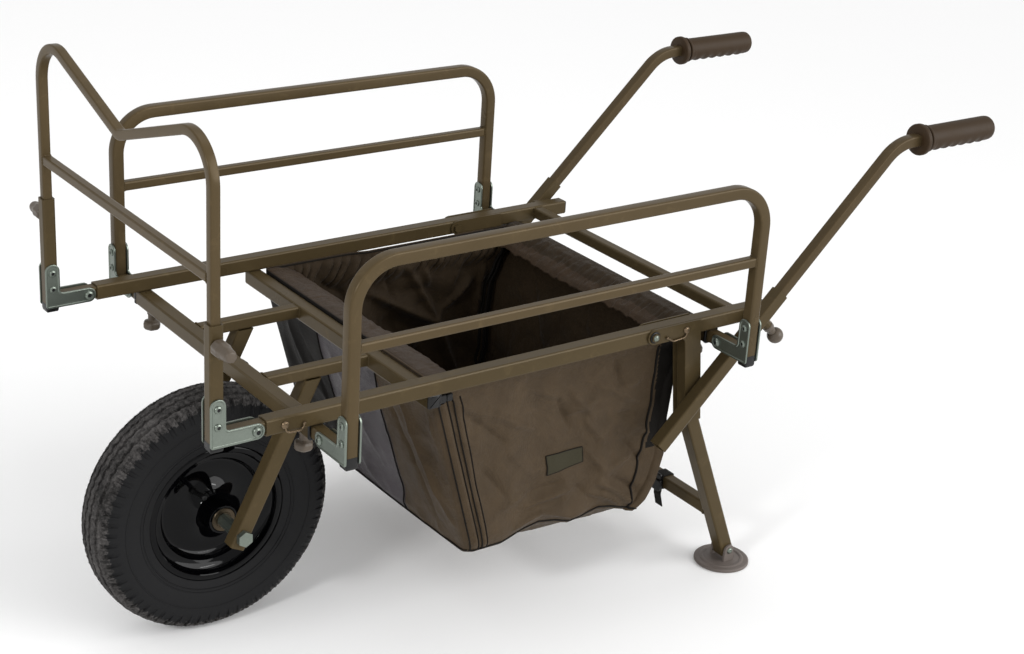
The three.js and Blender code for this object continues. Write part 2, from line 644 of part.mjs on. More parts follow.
function bagBody() {
  const layer = (inset) => {
    const depth = 2 * (bagHalfWidth - inset);
    return new THREE.ExtrudeGeometry(bagOutline(inset), { depth, bevelEnabled: false })
      .rotateX(Math.PI / 2).translate(0, depth / 2, 0);
  };
  return cut(layer(0), [layer(bag.wall)]);
}

// Assembly

const trolley = new THREE.Group();

function add(parent, name, geometry, material, position = at(0, 0, 0)) {
  const mesh = new THREE.Mesh(geometry, material);
  mesh.name = name;
  mesh.position.copy(position);
  parent.add(mesh);
  return mesh;
}

const hands = [['left', -1], ['right', 1]];

// Wheel on its axle, between the fork arms
const wheel = new THREE.Group();
wheel.position.set(0, 0, tyre.radius);
trolley.add(wheel);
add(wheel, 'tyre', tyreBody(), paint.rubber);
add(wheel, 'rim', rimBody(), paint.gloss);
add(wheel, 'axle', axleBody(), paint.zinc);
for (const [hand, sign] of hands) add(wheel, `bearing_${hand}`, bearingBody(sign), paint.zinc);

// Welded deck
for (const [hand, sign] of hands) {
  add(trolley, `rail_${hand}`, railBody(sign), paint.frame);
  add(trolley, `fork_beam_${hand}`, beamBody(sign), paint.frame);
  add(trolley, `fork_arm_${hand}`, forkArmBody(sign), paint.frame);
  add(trolley, `handle_sleeve_${hand}`, handleSleeveBody(sign), paint.frame);
}
add(trolley, 'front_crossbar', crossbarBody(sidePostFront, true), paint.frame);
add(trolley, 'bag_crossbar', crossbarBody(bagBarX, false), paint.frame);
add(trolley, 'rear_slide_crossbar', crossbarBody(sidePostRear, true), paint.frame);
add(trolley, 'rear_crossbar', endBarBody(), paint.frame);
add(trolley, 'bag', bagBody(), paint.cloth);

// Front gate on its two slide tubes
for (const [hand, sign] of hands) {
  const pivot = at(gatePivotX, sign * rail.halfSpacing, railHeight);
  add(trolley, `front_slide_${hand}`,
    slideBody(pivot, alongX, slideTube.frontDepth, sleeveSide, acrossY), paint.slide);
  add(trolley, `gate_bracket_${hand}`, bracketBody(sleeveSide), paint.zinc, pivot);
  add(trolley, `gate_sleeve_${hand}`, gateSleeveBody(sign), paint.frame);
}
add(trolley, 'gate_hoop', gateHoopBody(), paint.gate);
add(trolley, 'gate_bar', gateBarBody(), paint.gate);

// Side gates on their width slides
for (const [hand, sign] of hands) {
  add(trolley, `side_hoop_${hand}`, sideHoopBody(sign), paint.gate);
  add(trolley, `side_bar_${hand}`, sideBarBody(sign), paint.gate);
  for (const [end, x] of [['front', sidePostFront], ['rear', sidePostRear]]) {
    const pivot = at(x, sign * sidePivotY, crossbarZ);
    add(trolley, `side_slide_${end}_${hand}`,
      slideBody(pivot, at(0, -sign, 0), slideTube.sideDepth, side.tube, alongX),
      paint.slide);
    const turn = add(trolley, `side_bracket_${end}_${hand}`, bracketBody(side.tube), paint.zinc, pivot);
    turn.rotation.z = -sign * Math.PI / 2;
  }
}

// Handles with their grips
for (const [hand, sign] of hands) {
  add(trolley, `handle_${hand}`, handleBody(sign), paint.handle);
  const rubber = add(trolley, `grip_${hand}`, gripBody(), paint.grip,
    at(gripStartX, sign * handleY, railHeight + handle.gripAbove));
  rubber.rotation.z = -Math.PI / 2;
}

// Leg frame with its swivelling feet
for (const [hand, sign] of hands) {
  add(trolley, `leg_${hand}`, legBody(sign), paint.frame);
  add(trolley, `foot_${hand}`, footBody(), paint.plastic, at(legFootX, sign * rail.halfSpacing, leg.boltZ));
}
add(trolley, 'leg_crossbar', legCrossbarBody(), paint.frame);

// Clamp knobs and locking pins, each turned so that its +Z points out of the metal
function fasten(name, geometry, material, tip, outward) {
  const mesh = add(trolley, name, geometry, material, tip);
  const up = Math.abs(outward.y) < 0.9 ? acrossY : at(0, 0, 1);
  const across = new THREE.Vector3().crossVectors(up, outward).normalize();
  const level = new THREE.Vector3().crossVectors(outward, across);
  mesh.quaternion.setFromRotationMatrix(new THREE.Matrix4().makeBasis(across, level, outward));
}

for (const [hand, sign] of hands) {
  const out = at(0, sign, 0);
  const y = sign * (crossbarReach - knob.inset);
  const buried = crossbar.wall + slideFit - gap;
  for (const [end, x] of [['front', sidePostFront], ['rear', sidePostRear]]) {
    fasten(`crossbar_knob_${end}_${hand}`, knobBody(buried, knob.crossbarReach), paint.knob,
      at(x, y, crossbarZ - slideSide / 2 - gap), at(0, 0, -1));
  }
  const gateKnobZ = gateSleeveTop - gateSleeve.knobBelowTop;
  fasten(`gate_knob_${hand}`, knobBody(gateSleeve.wall + slideFit - gap, knob.gateReach), paint.knob,
    at(gatePostX, sign * (rail.halfSpacing + gate.side / 2 + gap), gateKnobZ), out);
  const handleTip = handleLine(0, sign * handleY).addScaledVector(handleUnder, handle.side / 2 + gap);
  const handleBuried = handleSleeve.wall / 2 + boss.length + slideFit - gap;
  fasten(`handle_knob_${hand}`, knobBody(handleBuried, knob.handleReach - boss.length), paint.knob,
    handleTip, handleUnder);
  fasten(`front_pin_${hand}`, pinBody(rail.wall + slideFit - gap, -sign), paint.zinc,
    at(rail.front + pin.behindFront, sign * (rail.halfSpacing + slideSide / 2 + gap), railHeight), out);
  fasten(`leg_pin_${hand}`, pinBody(legPlate.thickness - gap, sign), paint.zinc,
    at(legPivotX + pin.legReach, sign * (rail.halfSpacing + rail.side / 2 + gap * 2), railHeight), out);
}

// The origin is the middle of the footprint, on the ground
trolley.updateMatrixWorld(true);
const extent = new THREE.Box3().setFromObject(trolley, true);
trolley.position.set(-(extent.min.x + extent.max.x) / 2, -(extent.min.y + extent.max.y) / 2, -extent.min.z);

export default trolley;
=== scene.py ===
"""Fishing trolley: studio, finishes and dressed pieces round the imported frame.

Lengths in the make_* functions are millimetres from the wheel axle, with +X to the handles, +Y to the
pusher's right hand and Z up from the ground; spot() turns them into metres in the frame's own axes.
"""

import math

import bmesh
import bpy
from mathutils import Matrix, Vector, noise


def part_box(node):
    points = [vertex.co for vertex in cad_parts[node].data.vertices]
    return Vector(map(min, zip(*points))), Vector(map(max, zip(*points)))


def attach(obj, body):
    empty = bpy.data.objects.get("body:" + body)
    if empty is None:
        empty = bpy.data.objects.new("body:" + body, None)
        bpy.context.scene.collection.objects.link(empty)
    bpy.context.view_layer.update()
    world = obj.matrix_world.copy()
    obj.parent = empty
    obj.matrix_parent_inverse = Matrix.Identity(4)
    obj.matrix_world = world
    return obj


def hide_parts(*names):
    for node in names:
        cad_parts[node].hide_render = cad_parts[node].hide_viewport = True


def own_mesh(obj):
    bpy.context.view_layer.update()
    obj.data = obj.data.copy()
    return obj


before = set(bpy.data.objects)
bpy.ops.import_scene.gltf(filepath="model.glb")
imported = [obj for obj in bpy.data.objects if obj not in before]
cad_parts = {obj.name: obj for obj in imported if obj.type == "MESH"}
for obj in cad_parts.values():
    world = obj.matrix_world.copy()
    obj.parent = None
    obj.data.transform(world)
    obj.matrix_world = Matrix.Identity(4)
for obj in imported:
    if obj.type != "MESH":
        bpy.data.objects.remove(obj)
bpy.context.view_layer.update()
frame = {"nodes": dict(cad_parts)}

bl_info = {
    "name": "Fishing trolley",
    "version": (1, 0, 0),
    "blender": (4, 5, 0),
    "location": "3D View > Sidebar > Trolley",
    "description": "Dresses the packed frame of a one-wheel fishing trolley",
    "category": "Object",
}

MM = 0.001
TINY = 1e-6
HANDS = (("left", -1), ("right", 1))
ENDS = ("front", "rear")


def middle(node):
    """Centre of a CAD node's box, in metres."""
    low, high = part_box(node)
    return (low + high) / 2


AXLE_X = middle("tyre").x / MM


def spot(x, y, z):
    """A point in metres from millimetres measured from the wheel axle."""
    return Vector((x + AXLE_X, y, z)) * MM


def place_of(node):
    """Centre of a CAD node in millimetres from the wheel axle."""
    centre = middle(node) / MM
    return Vector((centre.x - AXLE_X, centre.y, centre.z))


def shade(red, green, blue):
    """Scene-linear colour from the usual 0 to 255 values."""
    def linear(value):
        share = value / 255
        return share / 12.92 if share <= 0.04045 else ((share + 0.055) / 1.055) ** 2.4
    return (linear(red), linear(green), linear(blue))


def ramped(value, low, high):
    """0 below low, 1 above high and a smooth step between them."""
    share = min(1.0, max(0.0, (value - low) / (high - low)))
    return share * share * (3 - 2 * share)


def between(table, value):
    """Straight line through a table of (place, height) pairs."""
    for (v0, h0), (v1, h1) in zip(table, table[1:]):
        if value <= v1:
            return h0 + (h1 - h0) * max(0.0, (value - v0) / (v1 - v0))
    return table[-1][1]


def circle(count, radius=1):
    """Pairs evenly spaced round a circle."""
    angles = (2 * math.pi * i / count for i in range(count))
    return [(radius * math.cos(angle), radius * math.sin(angle)) for angle in angles]


# Places and sizes that the pieces share, in millimetres
RAIL_Y = abs(place_of("rail_left").y)
RAIL_Z = place_of("rail_left").z
TUBE_HALF = 12.5  # half the width of the rails' and crossbars' tubes
CROSSBAR_Z = place_of("front_crossbar").z
POST_X = {"front": place_of("front_crossbar").x, "rear": place_of("rear_slide_crossbar").x}
BAG_BAR_X = place_of("bag_crossbar").x
GATE_PIVOT_X = place_of("gate_sleeve_left").x + 60
GATE_POST_X = place_of("gate_sleeve_left").x
SIDE_PIVOT_Y = abs(place_of("side_hoop_left").y) - 60
SIDE_POST_Y = abs(place_of("side_hoop_left").y)
HANDLE_Y = abs(place_of("handle_left").y)
LEG_PIVOT_X = POST_X["rear"] - 131
LEG_FOOT = Vector((POST_X["rear"] + 87, RAIL_Y, 27))
LEG_BAR_X, LEG_BAR_Z = LEG_FOOT.x - 33.3, 108
LEG_PLATE = 15.8  # from a rail's middle out to the face of the leg plate
WHEEL_RADIUS = 203  # the axle's height too
SEAT_GAP = 0.3  # between pieces that touch


# Settings

def length(name, text, default):
    return bpy.props.FloatProperty(name=name, description=text, default=default * MM, min=0, precision=4,
                                   subtype="DISTANCE", unit="LENGTH")


def colour(name, text, *levels):
    return bpy.props.FloatVectorProperty(name=name, description=text, default=shade(*levels), size=3,
                                         min=0, max=1, subtype="COLOR")


class TrolleySizes(bpy.types.PropertyGroup):
    tread_depth: length("Tread depth", "Depth of the grooves and shoulder slots in the tyre", 5.4)
    tread_teeth: bpy.props.IntProperty(name="Tread teeth", description="Shoulder teeth round the tyre",
                                       default=66, min=12, max=144)
    plate_rim: length("Bracket rim", "Width of the raised rim round each bracket plate", 2.6)
    grip_ridge: length("Grip ridge", "Depth of the finger ridges under each grip", 2.2)
    cloth: length("Cloth thickness", "Thickness of the bag's cloth", 1.8)
    gather: length("Gather depth", "Depth of the gathers under the bag's hem", 5.5)
    belly: length("Bag belly", "How far the bag's sides bulge", 7)
    piping: length("Piping radius", "Radius of the piping along the bag's seams", 1.6)
    strap: length("Strap width", "Width of the bag's straps", 22)
    weld: length("Weld bead", "Radius of the weld beads", 1.6)


class TrolleyColours(bpy.types.PropertyGroup):
    frame: colour("Frame paint", "Powder coat of the deck, fork and legs", 70, 59, 39)
    gate: colour("Gate paint", "Powder coat of the gates", 75, 63, 43)
    slide: colour("Slide paint", "Powder coat of the sliding tubes", 69, 58, 38)
    handle: colour("Handle paint", "Powder coat of the handles", 72, 60, 41)
    zinc: colour("Zinc plate", "Plated brackets, bolts and pins", 123, 131, 122)
    tyre: colour("Tyre rubber", "Rubber of the tyre", 17, 17, 18)
    tread: colour("Dusty tread", "Rubber of the tread, with a pale bloom", 60, 58, 57)
    rim: colour("Rim enamel", "Gloss enamel of the wheel rim", 3, 3, 4)
    hub: colour("Bearing steel", "Oiled steel of the bearings", 74, 64, 50)
    bronze: colour("Pin wire", "Bronzed spring wire of the locking pins", 118, 101, 80)
    grip: colour("Grip rubber", "Rubber of the grips", 53, 39, 23)
    knob: colour("Knob plastic", "Plastic of the clamp knobs", 80, 71, 61)
    foot: colour("Foot plastic", "Plastic of the feet", 98, 90, 85)
    # The black plastic also fills the hollows of the bracket rivets, as painted shade.
    black: colour("Black plastic", "Plugs, bushes and buckles", 12, 12, 12)
    cloth: colour("Bag cloth", "Coated polyester of the bag", 63, 51, 36)
    # Painted shade: the inside colour is darkened to stand for the shade inside the bag.
    inside: colour("Inside of the bag", "Unlit reverse of the bag cloth", 40, 30, 17)
    band: colour("Hem bands", "Folded bands along the crossbars", 50, 38, 26)
    lining: colour("Front panel", "Rubberised front panel of the bag", 64, 59, 62)
    # The trim colour also paints shade on the far part of the bag's front and, in part, on the strips behind
    # the rear seams.
    trim: colour("Bag trim", "Piping, binding and straps", 13, 10, 7)
    label: colour("Blank patch", "Woven patch on the near side", 46, 43, 31)


# The photo's camera: place in metres, angles in degrees, lens and sensor in mm, frame in pixels
PHOTO_EYE = (-1.7727, -2.3708, 1.6439)
PHOTO_AZIMUTH, PHOTO_ELEVATION, PHOTO_ROLL = -36.87822, 22.870719, 3.675667
PHOTO_LENS, SENSOR = 66.184, 36
PHOTO_WIDTH, PHOTO_HEIGHT = 1024, 654


class TrolleyStudio(bpy.types.PropertyGroup):
    azimuth: bpy.props.FloatProperty(name="Azimuth", description="Camera azimuth", subtype="ANGLE",
                                     default=math.radians(PHOTO_AZIMUTH))
    elevation: bpy.props.FloatProperty(name="Elevation", description="Camera height angle",
                                       subtype="ANGLE", default=math.radians(PHOTO_ELEVATION))
    roll: bpy.props.FloatProperty(name="Roll", description="Camera roll", subtype="ANGLE",
                                  default=math.radians(PHOTO_ROLL))
    eye: bpy.props.FloatVectorProperty(name="Eye", description="Place of the camera", size=3,
                                       subtype="TRANSLATION", default=PHOTO_EYE)
    lens: bpy.props.FloatProperty(name="Lens", description="Focal length", default=PHOTO_LENS, unit="CAMERA")
    floor: colour("Floor", "Studio floor", 248, 248, 248)
    daylight: bpy.props.FloatProperty(name="Daylight", description="Strength of the white surround",
                                      default=0.74, min=0)
    key: bpy.props.FloatProperty(name="Key light", description="Strength of the broad light from the right",
                                 default=2.4, min=0)


# Finishes

def connect(tree, slot, value):
    """Links or sets one socket."""
    if isinstance(value, Wire):
        tree.links.new(value.socket, slot)
    elif slot.type == "RGBA" and len(value) == 3:
        slot.default_value = (*value, 1)
    else:
        slot.default_value = value


class Wire:
    """A value on its way between nodes; arithmetic on it adds Math nodes."""

    def __init__(self, tree, socket):
        self.tree, self.socket = tree, socket

    def maths(self, operation, *values):
        node = self.tree.nodes.new("ShaderNodeMath")
        node.operation = operation
        for slot, value in zip(node.inputs, values):
            connect(self.tree, slot, value)
        return Wire(self.tree, node.outputs[0])

    def __add__(self, other):
        return self.maths("ADD", self, other)

    def __sub__(self, other):
        return self.maths("SUBTRACT", self, other)

    def __rsub__(self, other):
        return self.maths("SUBTRACT", other, self)

    def __mul__(self, other):
        return self.maths("MULTIPLY", self, other)

    def __abs__(self):
        return self.maths("ABSOLUTE", self)

    __radd__ = __add__
    __rmul__ = __mul__


class Finish:
    """One material of the trolley, built round a Principled shader."""

    def __init__(self, name, **constants):
        self.material = bpy.data.materials.new(name)
        self.material.use_nodes = True
        self.tree = self.material.node_tree
        self.shader = self.tree.nodes["Principled BSDF"]
        for socket, value in constants.items():
            self.feed(socket.replace("_", " "), value)

    def feed(self, socket, value):
        connect(self.tree, self.shader.inputs[socket], value)

    def node(self, kind, settings=(), sockets=(), output=0):
        """A node of any type: its settings are made first, then its sockets."""
        made = self.tree.nodes.new("ShaderNode" + kind)
        for name, value in dict(settings).items():
            setattr(made, name, value)
        for name, value in dict(sockets).items():
            connect(self.tree, made.inputs[name], value)
        return Wire(self.tree, made.outputs[output])

    def mix(self, share, low, high):
        return self.node("Mix", {"data_type": "RGBA"}, {0: share, 6: low, 7: high}, output=2)

    def place(self):
        return self.node("TexCoord", output="Object")

    def noise(self, scale, detail=2, roughness=0.5, vector=None, **more):
        sockets = {"Vector": vector or self.place(), "Scale": scale, "Detail": detail,
                   "Roughness": roughness, **more}
        return self.node("TexNoise", {}, sockets)

    def ramp(self, value, stops):
        made = self.tree.nodes.new("ShaderNodeMapRange")
        made.clamp = True
        (start, low), (end, high) = stops
        for slot, level in zip(range(1, 5), (start, end, low, high)):
            made.inputs[slot].default_value = level
        connect(self.tree, made.inputs[0], value)
        return Wire(self.tree, made.outputs[0])

    def bump(self, height, strength, distance):
        self.feed("Normal", self.node("Bump", {}, {"Height": height, "Strength": strength,
                                                   "Distance": distance}))


def scaled(levels, factor):
    return tuple(min(1, level * factor) for level in levels)


def powder_coat(name, levels, gloss=0.3):
    """Satin powder coat with a fine orange peel, faint clouds and rub marks."""
    coat = Finish(name, Metallic=0.15, IOR=1.2)
    clouds = coat.noise(9, 3)
    peel = coat.noise(620, 2)
    rubs = coat.ramp(coat.noise(34, 8, 0.72, Distortion=0.6), ((0.56, 0), (0.74, 1)))
    paint = coat.mix(clouds, scaled(levels, 0.84), scaled(levels, 1.16))
    coat.feed("Base Color", coat.mix(rubs * 0.4, paint, scaled(levels, 1.9)))
    coat.feed("Roughness", gloss + (clouds - 0.5) * 0.14 + rubs * 0.1)
    coat.bump(peel, 0.22, 0.00025)
    return coat.material


def zinc_plate(name, levels):
    """Bright zinc with a faint spangle and fingered patches."""
    plate = Finish(name, Metallic=0.85)
    spangle = plate.node("TexVoronoi", {"feature": "F1"}, {"Vector": plate.place(), "Scale": 240},
                         output="Distance")
    patches = plate.noise(38, 5, 0.6)
    cool = plate.mix(patches, scaled(levels, 0.8), levels)
    plate.feed("Base Color", plate.mix(spangle * 0.3, cool, scaled(levels, 0.62)))
    plate.feed("Roughness", 0.2 + patches * 0.22 + spangle * 0.05)
    plate.bump(plate.noise(520, 3), 0.12, 0.0002)
    return plate.material


def rubber(name, levels, rough=0.72, dusty=0.5, grain=900):
    """Moulded rubber with a dusty bloom."""
    skin = Finish(name, IOR=1.27)
    bloom = skin.noise(16, 6, 0.65)
    fine = skin.noise(grain, 3)
    skin.feed("Base Color", skin.mix(bloom * dusty, scaled(levels, 0.8), scaled(levels, 1.9)))
    skin.feed("Roughness", rough + (bloom - 0.5) * 0.2)
    skin.bump(fine, 0.35, 0.0003)
    return skin.material


def dusty_tread(name, levels):
    """Worn rubber: pale crumbs of dust over a black ground."""
    skin = Finish(name, IOR=1.25)
    bloom = skin.noise(22, 6, 0.65)
    crumbs = skin.noise(170, 5, 0.8, Distortion=0.4)
    dust = skin.ramp(crumbs * 0.65 + bloom * 0.35, ((0.43, 0), (0.62, 1)))
    skin.feed("Base Color", skin.mix(dust, scaled(levels, 0.3), scaled(levels, 1.9)))
    skin.feed("Roughness", 0.7 + dust * 0.2)
    skin.bump(crumbs, 0.7, 0.0015)
    return skin.material


def enamel(name, levels):
    """Deep black gloss with a clear coat and slight flow ripples."""
    gloss = Finish(name, Coat_Roughness=0.03, IOR=1.18)
    ripple = gloss.noise(26, 2)
    dust = gloss.ramp(gloss.noise(420, 4, 0.7), ((0.62, 0), (0.8, 1)))
    gloss.feed("Base Color", gloss.mix(dust * 0.05, levels, shade(70, 68, 64)))
    gloss.feed("Roughness", 0.07 + dust * 0.3)
    gloss.feed("Coat Weight", 0.12 - dust * 0.1)
    gloss.bump(ripple, 0.05, 0.002)
    return gloss.material


def moulding(name, levels, rough=0.45, grain=800):
    """Moulded plastic with a fine spark-eroded texture."""
    shell = Finish(name, IOR=1.36)
    clouds = shell.noise(60, 4)
    shell.feed("Base Color", shell.mix(clouds, scaled(levels, 0.82), scaled(levels, 1.16)))
    shell.feed("Roughness", rough + (clouds - 0.5) * 0.16)
    shell.bump(shell.noise(grain, 2), 0.3, 0.0003)
    return shell.material


def weave(coat, scale):
    """Fine threads crossing on every panel, whichever way it faces."""
    place = coat.place()
    waves = [coat.node("TexWave", {"bands_direction": way},
                       {"Vector": place, "Scale": scale, "Distortion": 0.5}) for way in "XYZ"]
    return waves[0] + waves[1] + waves[2]


def woven(name, levels, rough=0.5, crease=0.5, sheen=0.04):
    """Coated cloth: a fine plain weave, crushed creases and pale rubbed ridges."""
    cloth = Finish(name, Sheen_Weight=sheen, Sheen_Roughness=0.45, IOR=1.2)
    place = cloth.place()
    creases = cloth.noise(14, 5, 0.6, vector=place, Distortion=1.3)
    crush = cloth.noise(48, 6, 0.62, vector=place, Distortion=0.9)
    tone = cloth.mix(creases, scaled(levels, 0.72), scaled(levels, 1.3))
    rubbed = cloth.ramp(crush, ((0.52, 0), (0.76, 1)))
    folds = [1 - abs(cloth.noise(scale, 2, 0.5, vector=place, Distortion=0.6) - 0.5) * 4 for scale in (9, 21)]
    worn = cloth.mix(rubbed * 0.35, tone, scaled(levels, 1.5))
    edge = cloth.ramp(folds[0] * 0.6 + folds[1] * 0.4, ((0.8, 0), (1, 1)))
    cloth.feed("Base Color", cloth.mix(edge * 0.22, worn, scaled(levels, 1.6)))
    cloth.feed("Roughness", rough + (crush - 0.5) * 0.3)
    relief = creases * crease + crush * (crease * 0.5) + folds[0] * (crease * 0.5) + folds[1] * (crease * 0.2)
    cloth.bump(weave(cloth, 240) * 0.03 + relief, 0.9, 0.006)
    return cloth.material


def webbing(name, levels):
    """Woven tape with fine ribs and a little fuzz."""
    tape = Finish(name, Sheen_Weight=0.02, IOR=1.2)
    fuzz = tape.noise(900, 3)
    tape.feed("Base Color", tape.mix(fuzz, scaled(levels, 0.7), scaled(levels, 1.6)))
    tape.feed("Roughness", 0.7 + (fuzz - 0.5) * 0.2)
    tape.bump(weave(tape, 170) * 0.3 + fuzz * 0.3, 0.5, 0.0006)
    return tape.material


def floor_paper(name, levels):
    paper = Finish(name, Roughness=0.9)
    paper.feed("Base Color", paper.mix(paper.noise(3, 2), scaled(levels, 0.995), levels))
    return paper.material


FINISHES = {
    "frame": powder_coat, "gate": powder_coat, "slide": powder_coat, "handle": powder_coat,
    "zinc": zinc_plate, "tyre": rubber, "rim": enamel,
    "tread": dusty_tread, "hub": zinc_plate, "bronze": zinc_plate,
    "grip": lambda name, levels: rubber(name, levels, 0.55, 0.25, 700),
    "knob": lambda name, levels: moulding(name, levels, 0.38),
    "foot": lambda name, levels: moulding(name, levels, 0.5, 500),
    "black": lambda name, levels: moulding(name, levels, 0.4),
    "cloth": woven,
    "inside": lambda name, levels: woven(name, levels, 0.6, 0.5, 0.05),
    "band": woven, "label": webbing,
    "lining": lambda name, levels: woven(name, levels, 0.36, 0.25, 0.05),
    "trim": webbing,
}
# The record's material slot that each finish belongs to
SLOT_OF = {"hub": "zinc", "bronze": "zinc", "tread": "tyre", "black": "knob",
           **dict.fromkeys(("cloth", "inside", "band", "lining", "trim", "label"), "bag")}


def finish(name):
    """The named finish, made once from its colour setting."""
    known = bpy.data.materials.get("trolley_" + name)
    if known:
        return known
    levels = tuple(getattr(bpy.context.scene.trolley_colours, name))
    return FINISHES[name]("trolley_" + name, levels)


# Meshes

def shown(name, mesh, coat, body, *, sharp=35, replaces=(), more=()):
    """Puts a mesh into the scene as a piece that rides on a body."""
    mesh.materials.append(finish(coat))
    for other in more:
        mesh.materials.append(finish(other))
    mesh.shade_smooth()
    mesh.set_sharp_from_angle(angle=math.radians(sharp))
    piece = bpy.data.objects.new(name, mesh)
    bpy.context.scene.collection.objects.link(piece)
    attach(piece, body)
    if replaces:
        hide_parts(*replaces)
    return piece


def skin_mesh(name, points, faces, outward=True):
    """A mesh from points in millimetres from the axle."""
    mesh = bpy.data.meshes.new(name)
    mesh.from_pydata([spot(*point) for point in points], [], faces)
    if outward:
        body = bmesh.new()
        body.from_mesh(mesh)
        bmesh.ops.recalc_face_normals(body, faces=body.faces)
        body.to_mesh(mesh)
        body.free()
    return mesh


class Shape:
    """Points and faces gathered for one mesh; lengths are millimetres."""

    def __init__(self):
        self.points, self.faces = [], []

    def add(self, points, faces, matrix=None):
        first = len(self.points)
        moved = [matrix @ Vector(p) for p in points] if matrix else [Vector(p) for p in points]
        self.points += moved
        self.faces += [[first + corner for corner in face] for face in faces]
        return self

    def loft(self, rings, wrap=False, matrix=None):
        """A skin through equal rings; wrap joins the last ring to the first."""
        count = len(rings[0])
        points = [p for ring in rings for p in ring]
        pairs = list(zip(range(len(rings)), range(1, len(rings))))
        if wrap:
            pairs.append((len(rings) - 1, 0))
        faces = [[low * count + i, low * count + (i + 1) % count, high * count + (i + 1) % count,
                  high * count + i] for low, high in pairs for i in range(count)]
        if not wrap:
            faces.append(list(range(count))[::-1])
            faces.append([(len(rings) - 1) * count + i for i in range(count)])
        return self.add(points, faces, matrix)

    def turned(self, profile, steps, matrix=None, closed=False, wobble=None):
        """A skin turned about +Z from (radius, height) pairs."""
        points, rings = [], []
        for index, (radius, height) in enumerate(profile):
            start = len(points)
            if radius < TINY:
                points.append((0, 0, height))
                rings.append([start])
                continue
            rings.append(list(range(start, start + steps)))
            for step in range(steps):
                angle = 2 * math.pi * step / steps
                reach, rise = wobble(index, step, radius, height) if wobble else (radius, height)
                points.append((reach * math.cos(angle), reach * math.sin(angle), rise))
        if closed:
            rings.append(rings[0])
        faces = []
        for low, high in zip(rings, rings[1:]):
            for i in range(steps):
                j = (i + 1) % steps
                corners = [low[i % len(low)], low[j % len(low)], high[j % len(high)], high[i % len(high)]]
                face = [c for k, c in enumerate(corners) if c != corners[k - 1]]
                if len(face) > 2:
                    faces.append(face)
        return self.add(points, faces, matrix)

    def mesh(self, name):
        return skin_mesh(name, self.points, self.faces)


def axes(origin, along, level=(0, 1, 0)):
    """A matrix whose Z runs along a direction and whose Y stays level."""
    along = Vector(along).normalized()
    level = Vector(level)
    if abs(along.dot(level)) > 0.9:
        level = Vector((1, 0, 0))
    across = level.cross(along).normalized()
    level = along.cross(across)
    matrix = Matrix((across, level, along)).transposed().to_4x4()
    matrix.translation = Vector(origin)
    return matrix


def rounded(corners, radii, steps):
    """A closed outline with each corner rounded."""
    outline = []
    count = len(corners)
    for i, (corner, radius) in enumerate(zip(corners, radii)):
        corner = Vector(corner)
        into = (Vector(corners[i - 1]) - corner).normalized()
        out = (Vector(corners[(i + 1) % count]) - corner).normalized()
        if radius < TINY:
            outline.append(corner)
            continue
        half = into.angle(out) / 2
        back = radius / math.tan(half)
        centre = corner + (into + out).normalized() * (radius / math.sin(half))
        start, end = corner + into * back - centre, corner + out * back - centre
        turn = start.angle(end)
        for step in range(steps + 1):
            share = step / steps
            arm = (start * math.sin((1 - share) * turn) + end * math.sin(share * turn)) / math.sin(turn)
            outline.append(centre + arm)
    return outline


def square(width, height, radius, steps=4):
    """Outline of a square tube with rounded corners."""
    w, h = width / 2, height / 2
    return rounded([(w, h), (-w, h), (-w, -h), (w, -h)], [radius] * 4, steps)


def bends(corners, radii, quarter):
    """Stations (point, direction) along a polyline whose inner corners are bent to a radius."""
    corners = [Vector(corner) for corner in corners]
    stations = [(corners[0], (corners[1] - corners[0]).normalized())]
    for i, radius in enumerate(radii, start=1):
        into = (corners[i] - corners[i - 1]).normalized()
        out = (corners[i + 1] - corners[i]).normalized()
        turn = into.angle(out)
        hinge = into.cross(out).normalized()
        start = corners[i] - into * (radius * math.tan(turn / 2))
        centre = start + hinge.cross(into) * radius
        steps = max(2, round(quarter * turn / (math.pi / 2)))
        for step in range(steps + 1):
            spin = Matrix.Rotation(turn * step / steps, 3, hinge)
            stations.append((centre + spin @ (start - centre), spin @ into))
    stations.append((corners[-1], (corners[-1] - corners[-2]).normalized()))
    return stations


def tube(shape, stations, normal, outline, bore=None):
    """A tube along stations in a plane; a bore makes it hollow."""
    normal = Vector(normal)

    def ring(station, section):
        point, direction = station
        across = direction.cross(normal)
        return [point + normal * x + across * y for x, y in section]

    outer = [ring(station, outline) for station in stations]
    if bore is None:
        return shape.loft(outer)
    return shape.loft(outer + [ring(station, bore) for station in reversed(stations)], wrap=True)


def arc_profile(pairs, radii, steps):
    """An open profile of (radius, height) pairs with rounded corners."""
    points = [Vector(pair) for pair in pairs]
    made = [points[0]]
    for i in range(1, len(points) - 1):
        radius = radii[i - 1] if isinstance(radii, (list, tuple)) else radii
        into, out = points[i - 1] - points[i], points[i + 1] - points[i]
        turn = into.angle(out)
        if radius < TINY or turn > math.pi - 0.02:
            made.append(points[i])
            continue
        back = min(radius / math.tan(turn / 2), into.length * 0.49, out.length * 0.49)
        start, end = points[i] + into.normalized() * back, points[i] + out.normalized() * back
        for step in range(steps + 1):
            share = step / steps
            made.append(start * (1 - share) ** 2 + points[i] * 2 * share * (1 - share) + end * share ** 2)
    made.append(points[-1])
    return [tuple(point) for point in made]


def domed_head(shape, matrix, radius, height, sides=24, socket=0.0):
    """A button head on +Z, with a hex-like dimple if socket is set."""
    profile = [(radius, 0), (radius, height * 0.25), (radius * 0.86, height * 0.7), (radius * 0.55, height)]
    if socket:
        profile += [(socket, height), (socket * 0.9, height * 0.55), (0, height * 0.5)]
    else:
        profile += [(radius * 0.25, height * 1.08), (0, height * 1.1)]
    shape.turned([(0, 0)] + arc_profile(profile, radius * 0.12, 2), sides, matrix)


# Stage

